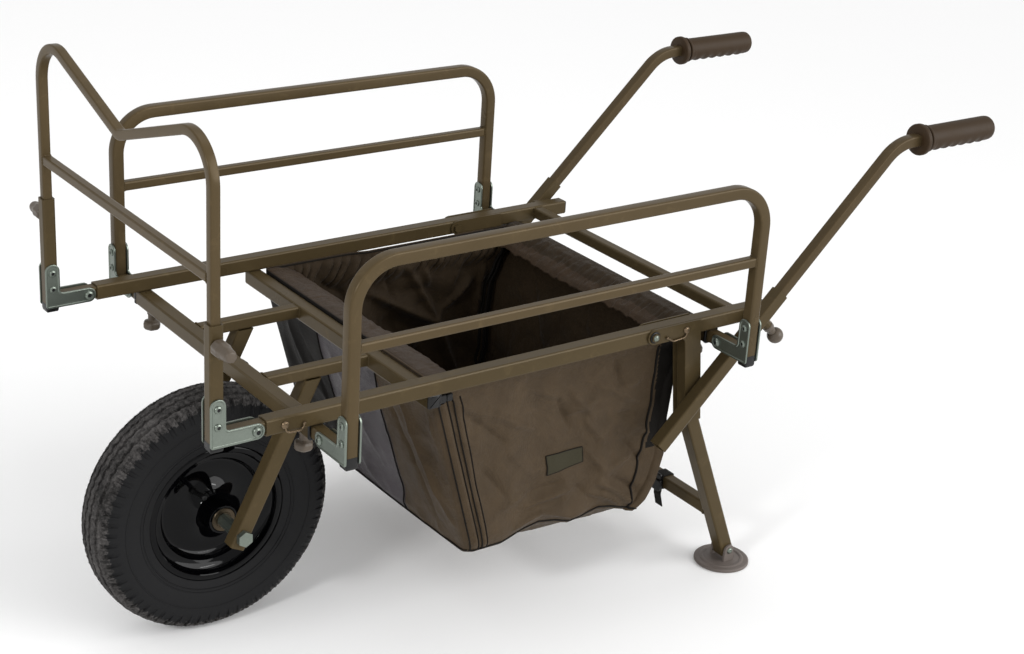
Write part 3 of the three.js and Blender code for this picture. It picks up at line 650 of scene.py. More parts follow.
def aim_lamp(name, place, target, size, energy):
    """A softbox of a width and height, or a soft sun where size is an angle."""
    if isinstance(size, float):
        lamp = bpy.data.lights.new(name, "SUN")
        lamp.angle = size
    else:
        lamp = bpy.data.lights.new(name, "AREA")
        lamp.shape = "RECTANGLE"
        lamp.size, lamp.size_y = size
    lamp.energy = energy
    holder = bpy.data.objects.new(name, lamp)
    bpy.context.scene.collection.objects.link(holder)
    holder.location = place
    holder.rotation_mode = "QUATERNION"
    holder.rotation_quaternion = (Vector(target) - Vector(place)).to_track_quat("-Z", "Y")


def camera_axes(azimuth, elevation, roll):
    """The camera's right, up and back directions."""
    back = Vector((math.sin(azimuth) * math.cos(elevation), -math.cos(azimuth) * math.cos(elevation),
                   math.sin(elevation)))
    right = Vector((math.cos(azimuth), math.sin(azimuth), 0))
    up = back.cross(right)
    c, s = math.cos(roll), math.sin(roll)
    return right * c + up * s, up * c - right * s, back


def make_stage(studio):
    scene = bpy.context.scene
    scene.view_settings.view_transform = "Standard"
    scene.view_settings.look = "None"
    world = bpy.data.worlds.new("studio_white")
    scene.world = world
    world.use_nodes = True
    surround = world.node_tree.nodes["Background"]
    surround.inputs["Color"].default_value = (1, 1, 1, 1)
    surround.inputs["Strength"].default_value = studio.daylight

    turn = Matrix(camera_axes(studio.azimuth, studio.elevation, studio.roll)).transposed().to_4x4()
    turn.translation = Vector(studio.eye)
    lens = bpy.data.cameras.new("camera")
    lens.sensor_width = SENSOR
    lens.lens = studio.lens
    lens.clip_end = 100
    camera = bpy.data.objects.new("camera", lens)
    scene.collection.objects.link(camera)
    camera.matrix_world = turn
    scene.camera = camera

    half = 30
    mesh = bpy.data.meshes.new("studio_floor")
    corners = [(-half, -half, 0), (half, -half, 0), (half, half, 0), (-half, half, 0)]
    mesh.from_pydata(corners, [], [(0, 1, 2, 3)])
    mesh.materials.append(floor_paper("studio_paper", tuple(studio.floor)))
    floor = bpy.data.objects.new("studio_floor", mesh)
    scene.collection.objects.link(floor)

    centre = (0, 0, 0.4)
    aim_lamp("key_light", (2.4, -2.7, 1.7), centre, math.radians(48), studio.key)
    aim_lamp("overhead_softbox", (0.2, 0.3, 3.2), centre, (2.0, 1.2), 12)
    aim_lamp("window_side_softbox", (-3.0, -1.1, 1.9), centre, (0.5, 0.36), 32)
    aim_lamp("low_front_strip", (1.4, -3.4, 1.3), centre, (0.9, 0.14), 8)


# Finishes on the CAD nodes that stay

CAD_FINISH = {
    "frame": ["rail_left", "rail_right", "front_crossbar", "bag_crossbar", "rear_slide_crossbar",
              "rear_crossbar", "fork_beam_left", "fork_beam_right", "fork_arm_left", "fork_arm_right",
              "handle_sleeve_left", "handle_sleeve_right", "gate_sleeve_left", "gate_sleeve_right",
              "leg_left", "leg_right", "leg_crossbar"],
    "gate": ["gate_bar", "side_bar_left", "side_bar_right"],
    "slide": ["front_slide_left", "front_slide_right", "side_slide_front_left", "side_slide_front_right",
              "side_slide_rear_left", "side_slide_rear_right"],
    "zinc": ["axle"],
    "hub": ["bearing_left", "bearing_right"],
}


def even_shading():
    """A geometry group that smooths a tube's rounded corners and keeps its cut ends crisp."""
    group = bpy.data.node_groups.new("even_shading", "GeometryNodeTree")
    group.interface.new_socket("Geometry", in_out="INPUT", socket_type="NodeSocketGeometry")
    group.interface.new_socket("Geometry", in_out="OUTPUT", socket_type="NodeSocketGeometry")
    begin = group.nodes.new("NodeGroupInput")
    end = group.nodes.new("NodeGroupOutput")
    edge = group.nodes.new("GeometryNodeInputMeshEdgeAngle")
    flat = group.nodes.new("FunctionNodeCompare")
    flat.operation = "LESS_EQUAL"
    flat.inputs[1].default_value = math.radians(50)
    faces = group.nodes.new("GeometryNodeSetShadeSmooth")
    edges = group.nodes.new("GeometryNodeSetShadeSmooth")
    edges.domain = "EDGE"
    join = group.links.new
    join(edge.outputs[0], flat.inputs[0])
    join(begin.outputs[0], faces.inputs[0])
    join(faces.outputs[0], edges.inputs[0])
    join(flat.outputs[0], edges.inputs["Shade Smooth"])
    join(edges.outputs[0], end.inputs[0])
    return group


def make_cad_finishes():
    group = even_shading()
    for coat, nodes in CAD_FINISH.items():
        for name in nodes:
            node = frame["nodes"][name]
            for slot in node.material_slots:
                slot.material = finish(coat)
            shading = node.modifiers.new("even_shading", "NODES")
            shading.node_group = group
            weights = node.modifiers.new("face_weights", "WEIGHTED_NORMAL")
            weights.keep_sharp = True
            weights.weight = 100


# Bent tubes

HOOP_FOOT, HOOP_TOP, HOOP_DIP = 52, 445, 352  # heights of the front gate's hoop over the rails' middle
SIDE_HOOP_TOP = 258
HANDLE_LEAN = math.radians(44)
HANDLE_FOOT_X = POST_X["rear"] + 82  # where a handle's middle line crosses the rails' height
HANDLE_RISE = 263  # from the rails' middle to the grips' middle
HANDLE_LEVEL = 192.66  # level run from the handle's corner to the tube's end
SLEEVE_TOP, HANDLE_HIDDEN = 53, 215  # along the lean: the sleeve's top, and the tube's length below it


def handle_place(distance, y):
    """A place on a handle's leaning line, at a distance up it from the rails' height."""
    return Vector((HANDLE_FOOT_X + distance * math.cos(HANDLE_LEAN), y,
                   RAIL_Z + distance * math.sin(HANDLE_LEAN)))


def make_bent_tubes():
    low, high, dip = RAIL_Z + HOOP_FOOT, RAIL_Z + HOOP_TOP, RAIL_Z + HOOP_DIP
    corners = [(-RAIL_Y, low), (-RAIL_Y, high), (0, dip), (RAIL_Y, high), (RAIL_Y, low)]
    path = bends([(GATE_POST_X, y, z) for y, z in corners], [62, 26, 62], 20)
    shape = tube(Shape(), path, (1, 0, 0), square(15, 15, 2.5), square(12, 12, 1))
    shown("gate_hoop_tube", shape.mesh("gate_hoop_tube"), "gate", "front_gate", replaces=["gate_hoop"])

    low, high = CROSSBAR_Z - 8, RAIL_Z + SIDE_HOOP_TOP
    front, rear = POST_X["front"], POST_X["rear"]
    for hand, sign in HANDS:
        y = sign * SIDE_POST_Y
        path = bends([(front, y, low), (front, y, high), (rear, y, high), (rear, y, low)], [66, 66], 20)
        shape = tube(Shape(), path, (0, 1, 0), square(20, 20, 3.4), square(17, 17, 1.5))
        shown(f"side_hoop_tube_{hand}", shape.mesh("side_hoop"), "gate", f"{hand}_side_gate",
              replaces=[f"side_hoop_{hand}"])

    for hand, sign in HANDS:
        y = sign * HANDLE_Y
        corner = handle_place(HANDLE_RISE / math.sin(HANDLE_LEAN), y)
        end = Vector((corner.x + HANDLE_LEVEL, y, RAIL_Z + HANDLE_RISE))
        path = bends([handle_place(SLEEVE_TOP - HANDLE_HIDDEN, y), corner, end], [80], 24)
        shape = tube(Shape(), path, (0, 1, 0), square(19, 19, 3), square(16, 16, 1.2))
        shown(f"handle_tube_{hand}", shape.mesh("handle_tube"), "handle", f"{hand}_handle",
              replaces=[f"handle_{hand}"])


# Folding brackets

def bracket_outline():
    """The L plate about its bolt, with the post on the -X side; pairs are X and Z."""
    half, offset, rise, fillet = 12, 60, 62, 6
    corners = [(-offset - half, -half), (half, -half), (half, half), (-offset + half, half),
               (-offset + half, rise), (-offset - half, rise)]
    return rounded(corners, [4.5, 11.6, 11.6, fillet, 11.6, 11.6], 8)


def inset(outline, amount):
    """The outline moved inwards along its own normals."""
    count = len(outline)
    moved = []
    for i, point in enumerate(outline):
        edge = outline[(i + 1) % count] - outline[i - 1]
        inward = Vector((-edge.y, edge.x)).normalized()
        moved.append(point + inward * amount)
    return moved


def bracket_plate(shape, matrix, inner, rim):
    """A pressed plate from its inner face outwards, with a raised rim and a bevelled edge."""
    outline = bracket_outline()
    thick, bevel, sunk = 3, 0.8, 0.9
    levels = [(bevel / 2, inner), (0, inner + bevel / 2), (0, inner + thick - bevel),
              (bevel * 0.3, inner + thick - bevel * 0.3), (bevel, inner + thick), (rim, inner + thick),
              (rim + 0.5, inner + thick - sunk * 0.6), (rim + 1, inner + thick - sunk)]
    rings = [[(p.x, y, p.y) for p in inset(outline, amount)] for amount, y in levels]
    shape.loft(rings, matrix=matrix)


# Two rivets and the hinge bolt of a plate: place along X and Z from the bolt, radius and height
PLATE_HEADS = ((-60, 20, 6, 2.8), (-60, 47, 6, 2.8), (0, 0, 7.6, 4.6))


def make_brackets(sizes):
    rim = sizes.plate_rim / MM
    jobs = []
    for hand, sign in HANDS:
        jobs.append((f"gate_bracket_{hand}", "gate_carrier", 21,
                     Matrix.Translation((GATE_PIVOT_X, sign * RAIL_Y, RAIL_Z))))
        for end in ENDS:
            turn = Matrix.Rotation(-sign * math.pi / 2, 4, "Z")
            move = Matrix.Translation((POST_X[end], sign * SIDE_PIVOT_Y, CROSSBAR_Z))
            jobs.append((f"side_bracket_{end}_{hand}", f"{hand}_side_gate", 20, move @ turn))
    for name, body, inside, matrix in jobs:
        plates, rivets, hollow_shade = Shape(), Shape(), Shape()
        inner = inside / 2 + SEAT_GAP
        for way in (1, -1):
            flip = matrix @ Matrix.Scale(way, 4, (0, 1, 0))
            bracket_plate(plates, flip, inner, rim)
            face = inner + 2.1
            for x, z, radius, height in PLATE_HEADS:
                seat = flip @ axes((x, face, z), (0, 1, 0))
                well = radius * 0.46
                domed_head(rivets, seat, radius, height, socket=well)
                # Painted shade: a black disc with a dimple sits in each head's hollow and stands in for the
                # shade inside it.
                hollow_shade.turned([(0, height * 0.4), (well, height * 0.4), (well * 0.96, height * 0.66),
                              (well * 0.5, height * 0.6), (0, height * 0.66)], 18, seat)
        rivets.loft([[(x, y, z) for x, z in circle(16, 4)] for y in (-inner - 2, inner + 2)], matrix=matrix)
        shown(name + "_plates", plates.mesh("bracket_plates"), "zinc", body, sharp=25, replaces=[name])
        shown(name + "_rivets", rivets.mesh("bracket_rivets"), "zinc", body)
        shown(name + "_wells", hollow_shade.mesh("rivet_wells"), "black", body)


# Wheel

ZIGZAG_BANDS = (7.5, 24)  # where the zigzag grooves run, either side of the middle
TOOTH_SHARES = (0, 0.05, 0.16, 0.27, 0.38, 0.43, 0.57, 0.71, 0.86)
SLOT_SHARES = (0.05, 0.16, 0.27, 0.38)
SIPE_SHARE = 0.71
# Radius of the tread at distances from the tyre's middle plane
CROWN = ((0, WHEEL_RADIUS), (12, 202.6), (24, 200.6), (32, 197.2), (38, 192.3), (42, 186), (45, 176.5),
         (46, 168))


def tread_rows(depth):
    """Half of the tyre's outer profile: (across, radius, zigzag share, slot depth)."""
    rows = [(0, WHEEL_RADIUS, 1, 0)]
    for band in ZIGZAG_BANDS:
        for shift, sunk in ((-2.9, 0), (-2.4, 0.8), (-1.7, 1), (1.7, 1), (2.4, 0.8), (2.9, 0)):
            y = band + shift
            rows.append((y, between(CROWN, y) - sunk * depth, 1, 0))
        rows.append((band + 6, between(CROWN, band + 6), 0.6 if band < 20 else 0, 0))
    for y, sunk in ((30.6, 0), (31.2, 0), (31.9, 1), (34, 1), (36.5, 1), (38.5, 1), (40.5, 1), (42, 0.95),
                    (43.4, 0.85), (44.4, 0.7), (45.2, 0.45), (45.7, 0.2)):
        rows.append((y, between(CROWN, y), 0, sunk * depth))
    wall = ((46, 168), (46, 163), (45.9, 160.5), (46.6, 160), (46.6, 158.8), (45.7, 158.2), (45.4, 152),
            (44.7, 144), (43.6, 138), (42.6, 134.4), (43.2, 134), (43.2, 132.6), (42, 132), (41.2, 129.4),
            (41.8, 129), (41.8, 127.8), (40.4, 127.2), (38.6, 122), (36.9, 117), (36.3, 115.7), (33.3, 115.7),
            (33.2, 108.1))
    return rows + [(y, radius, 0, 0) for y, radius in wall]


def make_tyre(sizes):
    depth = sizes.tread_depth / MM
    teeth = sizes.tread_teeth
    half = tread_rows(depth)
    rows = [(-y, r, z, s) for y, r, z, s in reversed(half[1:])] + half
    rows += [(24, 108.1, 0, 0), (24, 126, 0, 0), (36, 150, 0, 0), (36, 176, 0, 0), (20, 193, 0, 0),
             (-20, 193, 0, 0), (-36, 176, 0, 0), (-36, 150, 0, 0), (-24, 126, 0, 0), (-24, 108.1, 0, 0)]
    rings = []
    for tooth in range(teeth):
        for share in TOOTH_SHARES:
            angle = 2 * math.pi * (tooth + share) / teeth
            lean = 1 - 4 * abs(((share + 0.22) % 1) - 0.5)
            in_slot = any(abs(share - cut) < TINY for cut in SLOT_SHARES)
            sipe = abs(share - SIPE_SHARE) < TINY
            ring = []
            for y, radius, zigzag, slot in rows:
                reach = radius - (slot if in_slot else slot * 0.4 if sipe else 0)
                if abs(y) < 45 and radius > 168:
                    reach += 1.3 * noise.noise(Vector((angle * 70, y * 0.4, 0))) - 0.6
                across = y + lean * zigzag * 1.7
                ring.append((reach * math.cos(angle), across, WHEEL_RADIUS + reach * math.sin(angle)))
            rings.append(ring)
    shape = Shape().loft(rings, wrap=True)
    mesh = shape.mesh("tyre_tread")
    shown("tyre_tread", mesh, "tyre", "wheel", sharp=32, replaces=["tyre"], more=["tread"])
    for polygon in mesh.polygons:
        arm = polygon.center - spot(0, 0, WHEEL_RADIUS)
        reach = math.hypot(arm.x, arm.z) / MM
        polygon.material_index = int(reach > 187 + 2 * math.sin(reach * 9))


def make_rim():
    half = [(19.9, 44), (19.9, 55.2), (20.6, 56), (23.2, 56), (24, 55.2), (24, 26), (27, 19), (36, 12.5),
            (50, 7.5), (62, 4.4), (76, 4), (82, 5.4), (86, 10), (88.6, 17.5), (93, 19), (100, 21),
            (103.6, 24), (104.6, 28), (104.8, 35.4), (106, 36.4), (113.4, 36.4), (115, 35.2), (115, 33.4),
            (107.7, 33.4), (107.7, 21), (104, 18.5), (95, 15.6), (92, 14)]
    profile = [(r, -y) for r, y in half] + [(r, y) for r, y in reversed(half)]
    profile += [(12, 44), (12, -44)]
    rim = Shape().turned(profile, 128, axes((0, 0, WHEEL_RADIUS), (0, 1, 0)), closed=True)
    shown("rim_bowl", rim.mesh("rim_bowl"), "rim", "wheel", sharp=38, replaces=["rim"])

    valve = Shape()
    seat = axes((-30, -7, 240), (0.1, -1, 0.06))
    profile = [(5.6, -4), (5.6, 6), (4, 10), (4, 24), (4.7, 25), (4.7, 36), (3.8, 38.5), (0, 39)]
    valve.turned([(0, -4)] + arc_profile(profile, 0.8, 2), 20, seat)
    shown("tyre_valve", valve.mesh("tyre_valve"), "black", "wheel")

    for hand, sign in HANDS:
        seal = Shape()
        rings = [(12.4, 0.2), (12.4, 0.9), (14.2, 1.2), (16.6, 0.8), (18.8, 1.2), (19.4, 0.2)]
        profile = [(r, 56 + h) for r, h in rings]
        seat = axes((0, 0, WHEEL_RADIUS), (0, sign, 0))
        seal.turned(arc_profile(profile, 0.3, 2), 48, seat, closed=True)
        shown(f"hub_seal_{hand}", seal.mesh("hub_seal"), "hub", "wheel")


# Grips

# The grip's flange and collar: distance along it and radius
GRIP_FLANGE = [(0, 15), (0, 25.4), (0.8, 26.6), (2, 27), (7.5, 27), (8.7, 26.6), (9.5, 25.4), (9.6, 20.6),
               (12.4, 20), (15, 20.6), (15.2, 22.6), (16, 23.4), (20, 23.4), (20.8, 22.6), (21, 21.4)]
RIDGE_PITCH, FLUTE_PITCH = 21.5, 5.4


def make_grips(sizes):
    ridge = sizes.grip_ridge / MM
    for hand, sign in HANDS:
        low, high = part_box(f"grip_{hand}")
        start = low.x / MM - AXLE_X
        centre = place_of(f"grip_{hand}")
        end = high.x / MM - AXLE_X - start
        stations = GRIP_FLANGE + [(21 + i * 2.4, 21.2) for i in range(1, 60)]
        stations += [(end - 8, 21), (end - 4, 20.4), (end - 1.6, 18.8), (end - 0.4, 16.4), (end, 13)]
        steps = 40
        rings = []
        for x, radius in stations:
            ring = []
            for step in range(steps):
                angle = 2 * math.pi * step / steps
                under = max(0.0, -math.sin(angle)) ** 1.5
                reach = radius
                if 30 < x < end - 20:
                    wave = 0.5 - 0.5 * math.cos(2 * math.pi * (x - 30) / RIDGE_PITCH)
                    reach += under * ridge * (wave - 0.6) * 1.5
                    flutes = max(0.0, abs(math.cos(angle)) - 0.35)
                    reach += flutes * 0.5 * math.cos(2 * math.pi * (x - 34) / FLUTE_PITCH)
                ring.append((start + x, centre.y + reach * math.cos(angle),
                             centre.z + reach * math.sin(angle)))
            rings.append(ring)
        shape = Shape().loft(rings)
        shown(f"grip_rubber_{hand}", shape.mesh("grip_rubber"), "grip", f"{hand}_handle", sharp=50,
              replaces=[f"grip_{hand}"])


# Clamp knobs and locking pins

def ball_knob(shape, matrix):
    """A ball knob on +Z whose collar starts at 0 and whose ball is centred at reach."""
    reach, radius = 32, 13.8
    profile = [(0, 0), (8.6, 0), (9.4, 0.8), (9.4, 8.4), (8.6, 9.6), (7.4, 10.6), (7, reach - radius + 2.6)]
    profile += [(radius * math.sin(a), reach - radius * math.cos(a))
                for a in (math.radians(d) for d in range(36, 156, 8))]
    profile += [(radius * 0.35, reach + radius * 0.93), (0, reach + radius * 0.93)]
    shape.turned(profile, 32, matrix)


def barrel_knob(shape, matrix):
    """A fluted knob on +Z, wide at its foot and rounded at its tip."""
    corners = [(0, 0), (9.5, 0), (12.6, 3), (12.9, 17), (10.4, 26), (9.4, 36), (8, 41.6), (0, 42.4)]
    profile = arc_profile(corners, [0, 2, 4, 6, 5, 3], 3)
    steps = 56

    def flutes(index, step, r, h):
        depth = 0.09 * ramped(h, 1, 4) * (1 - ramped(h, 20, 28))
        return r * (1 - depth * (0.5 + 0.5 * math.cos(8 * 2 * math.pi * step / steps))), h

    shape.turned(profile, steps, matrix, wobble=flutes)


def disc_knob(shape, matrix):
    """A squat lobed knob on +Z."""
    reach, radius = 26, 14
    profile = [(0, 0), (7, 0), (7.6, 0.8), (7.6, 6), (6.4, 8), (6.4, reach - 9), (9, reach - 7)]
    corners = [(radius - 2, reach - 6.5), (radius, reach - 4), (radius, reach + 3),
               (radius - 2.5, reach + 6.5), (radius * 0.5, reach + 7.6), (0, reach + 7.6)]
    profile += arc_profile(corners, 2.4, 3)
    steps = 48

    def lobes(index, step, r, h):
        return (r * (1 + 0.045 * math.cos(6 * 2 * math.pi * step / steps)), h) if r > 9.5 else (r, h)

    shape.turned(profile, steps, matrix, wobble=lobes)


def screw(shape, matrix, start, end, radius=4):
    profile = [(0, start), (radius - 0.4, start), (radius, start + 0.5), (radius, end), (0, end)]
    shape.turned(profile, 16, matrix)


def clamp(name, kind, node, body, seat, knob, sunk):
    """One clamp knob with its screw, which starts below the knob's seat."""
    shape = Shape()
    knob(shape, seat)
    screw(shape, seat, -sunk, 1)
    shown(name, shape.mesh(kind), "knob", body, replaces=[node])


def make_knobs():
    under = Vector((math.sin(HANDLE_LEAN), 0, -math.cos(HANDLE_LEAN)))
    boss = 11.5 - 0.75 + 13  # from a handle sleeve's middle line to the face of its boss
    for hand, sign in HANDS:
        for end in ENDS:
            node = f"crossbar_knob_{end}_{hand}"
            centre = place_of(node)
            seat = axes((centre.x, centre.y, CROSSBAR_Z - TUBE_HALF - SEAT_GAP), (0, 0, -1))
            clamp(f"{end}_clamp_disc_{hand}", "clamp_disc", node, f"{hand}_{end}_knob", seat, disc_knob, 2.6)
        node = f"gate_knob_{hand}"
        seat = axes((place_of(node).x, sign * (RAIL_Y + 10.5 + SEAT_GAP), place_of(node).z), (0, sign, 0))
        clamp(f"gate_clamp_{hand}", "gate_clamp", node, f"{hand}_gate_knob", seat, barrel_knob, 2.8)
        foot = Vector((HANDLE_FOOT_X, sign * HANDLE_Y, RAIL_Z))
        seat = axes(foot + under * (boss + SEAT_GAP), under)
        clamp(f"handle_clamp_{hand}", "handle_clamp", f"handle_knob_{hand}", f"{hand}_handle_knob", seat,
              ball_knob, 13)


# The locking pins: name, place along X, face that each sits on, and the run of its wire from the pin
PINS = (("front_pin", -28, RAIL_Y + TUBE_HALF, ((0, -3), (1, -12), (28, -13), (30, -3))),
        ("leg_pin", LEG_PIVOT_X + 66, RAIL_Y + LEG_PLATE, ((0, -3), (-1, -11), (-28, -13.5), (-41, -5))))


def make_pins():
    for hand, sign in HANDS:
        out = (0, sign, 0)
        for pin, x, face, drop in PINS:
            shape = Shape()
            seat = axes((x, sign * (face + SEAT_GAP), RAIL_Z), out)
            domed_head(shape, seat, 6, 3, 28)
            screw(shape, seat, -2.6, 0.5, 3)
            path = bends([(x + dx, sign * (face + 2.2), RAIL_Z + dz) for dx, dz in drop], [8, 8], 12)
            tube(shape, path, (0, 1, 0), circle(12, 1.5))
            ball = axes(path[-1][0], (0, 0, 1))
            shape.turned([(0, -2.6), (2.2, -1.5), (2.7, 0), (2.2, 1.6), (0, 2.6)], 14, ball)
            shown(f"{pin}_{hand}_wire", shape.mesh("pin_wire"), "bronze", f"{hand}_{pin}",
                  replaces=[f"{pin}_{hand}"])
        ring, dome, knob = Shape(), Shape(), Shape()
        profile = [(6.4, 0), (9.2, 0), (9.8, 0.8), (9.4, 2.2), (8.2, 2.8), (6.6, 2.4)]
        ring.turned(profile, 32, axes((LEG_PIVOT_X, sign * (RAIL_Y + LEG_PLATE), RAIL_Z), out), closed=True)
        shown(f"leg_pivot_ring_{hand}", ring.mesh("leg_pivot_ring"), "black", "leg_frame")
        domed_head(dome, axes((LEG_PIVOT_X, sign * (RAIL_Y + 19.4), RAIL_Z), out), 5.4, 3.2, 24)
        shown(f"leg_pivot_dome_{hand}", dome.mesh("leg_pivot_dome"), "zinc", "leg_frame")
        seat = axes((103, sign * 95.8, 391), (0, -sign, 0))
        corners = [(5, -0.4), (5, 7), (8.6, 9), (9.2, 24), (6.8, 27.4), (0, 28)]
        knob.turned([(0, -0.4)] + arc_profile(corners, 1.6, 3), 24, seat)
        shown(f"fork_knob_{hand}", knob.mesh("fork_knob"), "black", "deck")


# Feet

def make_feet():
    for hand, sign in HANDS:
        x, y = LEG_FOOT.x, sign * RAIL_Y
        disc = Shape()
        profile = [(0, 0), (46.5, 0), (48, 0.9), (48, 4.2), (46.6, 5.6), (42, 6.3), (39, 6.2), (37.4, 7.4),
                   (35, 8), (32.6, 7.6), (31.4, 6.6), (24, 7.4), (14, 8), (0, 8)]
        disc.turned(profile, 72, axes((x, y, 0), (0, 0, 1)))
        for way in (-1, 1):
            near = 13.7 * way
            outline = rounded([(-11.5, 6), (11.5, 6), (9.4, 37), (-9.4, 37)], [0, 0, 9.2, 9.2], 8)
            levels = [(0.8, near), (0, near + 0.8 * way), (0, near + 4.4 * way), (0.8, near + 5.2 * way)]
            rings = [[(x + p.x, y + depth, p.y) for p in inset(outline, amount)] for amount, depth in levels]
            disc.loft(rings)
        shown(f"foot_disc_{hand}", disc.mesh("foot_disc"), "foot", f"{hand}_foot", replaces=[f"foot_{hand}"])
        bolt = Shape()
        for way in (-1, 1):
            domed_head(bolt, axes((x, y + way * 18.9, LEG_FOOT.z), (0, way, 0)), 5.6, 2.6, 20, socket=2.2)
        bolt.loft([[(x + along, y + reach, LEG_FOOT.z + up) for along, up in circle(16, 4)]
                   for reach in (-19, 19)])
        shown(f"foot_bolt_{hand}", bolt.mesh("foot_bolt"), "zinc", f"{hand}_foot")


# Plugs, bushes and caps

def plug(shape, centre, direction, width, reach, sunk):
    """A square plastic plug with a soft crown, along a direction."""
    radius, dome = 3, 1
    matrix = axes(centre, direction)
    levels = [(0, -sunk), (0, reach * 0.55), (0.5, reach * 0.85), (1.4, reach), (4, reach + dome)]
    rings = [[(p.x, p.y, h) for p in inset(square(width, width, radius), amount)] for amount, h in levels]
    shape.loft(rings, matrix=matrix)


BAR_END = 283.2  # from the middle to the end of a crossbar


def make_plugs():
    down = (0, 0, -1)
    rear_end = POST_X["rear"] + 116
    for hand, sign in HANDS:
        out = (0, sign, 0)
        jobs = [
            (f"rail_plug_{hand}", "deck", (rear_end, sign * RAIL_Y, RAIL_Z), (1, 0, 0), 23.6, 3, 0.2),
            (f"bag_bar_plug_{hand}", "deck", (BAG_BAR_X, sign * BAR_END, CROSSBAR_Z), out, 23.6, 3, 0),
            (f"gate_post_cap_{hand}", "gate_carrier", (GATE_POST_X, sign * RAIL_Y, RAIL_Z - 8.2), down,
             21.4, 11, 3),
        ]
        jobs += [(f"{end}_post_cap_{hand}", f"{hand}_side_gate",
                  (POST_X[end], sign * SIDE_POST_Y, CROSSBAR_Z - 8.2), down, 20.5, 11, 8) for end in ENDS]
        for name, body, centre, direction, width, reach, sunk in jobs:
            shape = Shape()
            plug(shape, centre, direction, width, reach, sunk)
            shown(name, shape.mesh("plug"), "black", body)
    outer, inner = square(26.4, 26.4, 3.4), square(20.4, 20.4, 1)
    levels = ((BAR_END, inset(outer, 0.6)), (283.8, outer), (287.4, outer), (288, inset(outer, 0.6)),
              (288, inner), (BAR_END, inner))
    for hand, sign in HANDS:
        for end in ENDS:
            rings = [[(POST_X[end] + p.x, sign * y, CROSSBAR_Z + p.y) for p in ring] for y, ring in levels]
            shape = Shape().loft(rings, wrap=True)
            shown(f"{end}_slide_bush_{hand}", shape.mesh("slide_bush"), "black", "deck")


# Weld beads

def weld_ring(shape, centre, along, width, bead):
    """A rippled fillet round the end of a square tube."""
    matrix = axes(centre, along)
    outline = square(width, width, 2.5, 3)
    dense = []
    for here, there in zip(outline, outline[1:] + outline[:1]):
        steps = max(1, round((there - here).length / 1.6))
        dense += [here.lerp(there, k / steps) for k in range(steps)]
    rings = []
    for k, point in enumerate(dense):
        size = bead * (0.85 + 0.3 * math.sin(k * 2.1))
        reach = max(abs(point.x), abs(point.y))
        out = Vector((point.x if abs(point.x) > reach - 1 else 0, point.y if abs(point.y) > reach - 1 else 0))
        out.normalize()
        rings.append([(point.x + out.x * ahead, point.y + out.y * ahead, up)
                      for ahead, up in circle(7, size)])
    shape.loft(rings, wrap=True, matrix=matrix)


GATE_BAR_Z, SIDE_BAR_Z = 710, 612


def make_welds(sizes):
    bead = sizes.weld / MM
    deck = Shape()
    for hand, sign in HANDS:
        weld_ring(deck, (POST_X["rear"] + 53, sign * 269.2, RAIL_Z), (0, 1, 0), 20, bead)
        for x in (40.8, 217.2):
            weld_ring(deck, (x, sign * 108, CROSSBAR_Z + 2.5), (1, 0, 0), 20, bead)
        sides = Shape()
        for x in (38.3, POST_X["rear"] - 10.3):
            weld_ring(sides, (x, sign * SIDE_POST_Y, SIDE_BAR_Z), (1, 0, 0), 16, bead * 0.8)
        shown(f"side_bar_welds_{hand}", sides.mesh("side_bar_welds"), "gate", f"{hand}_side_gate")
    shown("deck_welds", deck.mesh("deck_welds"), "frame", "deck")
    gate, legs = Shape(), Shape()
    for sign in (-1, 1):
        weld_ring(gate, (GATE_POST_X, sign * 274.2, GATE_BAR_Z), (0, 1, 0), 15, bead * 0.8)
        weld_ring(legs, (LEG_BAR_X, sign * 268.5, LEG_BAR_Z), (0, 1, 0), 22, bead)
    shown("gate_bar_welds", gate.mesh("gate_bar_welds"), "gate", "front_gate")
    shown("leg_bar_welds", legs.mesh("leg_bar_welds"), "frame", "leg_frame")


def make_leg_straps(sizes):
    """Webbing loops with buckles that hold the bag to the legs' crossbar."""
    half = sizes.strap / MM / 2
    outer, inner = square(27.4, 27.4, 5, 5), square(22.6, 22.6, 2.6, 5)
    edge, bevel = inset(outer, 0.8), 0.8
    levels = ((-half, edge), (-half + bevel, outer), (half - bevel, outer), (half, edge), (half, inner),
              (-half, inner))
    for hand, sign in HANDS:
        y = sign * 150
        loop, clip = Shape(), Shape()
        rings = [[(LEG_BAR_X + p.x, y + level, LEG_BAR_Z + p.y) for p in ring] for level, ring in levels]
        loop.loft(rings, wrap=True)
        tail = bends([(LEG_BAR_X - ahead, y, z) for ahead, z in ((11, 96), (13, 84), (6, 58))], [14], 8)
        tube(loop, tail, (0, 1, 0), [(-9, -0.9), (9, -0.9), (9, 0.9), (-9, 0.9)])
        shown(f"leg_strap_{hand}", loop.mesh("leg_strap"), "trim", "leg_frame")
        buckle(clip, axes((LEG_BAR_X - 13.6, y, LEG_BAR_Z), (-1, 0, 0), (0, 0, 1)), 25, 34)
        shown(f"leg_buckle_{hand}", clip.mesh("leg_buckle"), "black", "leg_frame", sharp=40)


# Bag

BAG_FRONT = ((0, 243.4, 467.5), (0.08, 243.4, 437), (1, 323, 150))
BAG_REAR = ((0, 757.6, 467.5), (0.08, 757.6, 437), (0.3, 728, 365), (0.5, 722, 300), (0.72, 724, 232),
            (0.86, 712, 186), (0.94, 694, 153), (1, 672, 133))
BAG_HALF = 265
BAG_LIMIT = 268.4  # half width that the cloth stays within ahead of the legs
PANEL_HALF = 92  # half width of the rubberised front panel
HEM_HALF = 260.5  # half length of the hem bands
SEAM_FOOT = 0.985  # share down the bag where the seams end
LEG_ROOM = 259.5  # half width of the bag where the folding leg plates pass, 262.2 from the middle
SIDE_CELLS = 160  # cells from one corner of the bag to the next
DOWN_CELLS = 84
NEAR, REAR, FAR, FRONT = range(4)
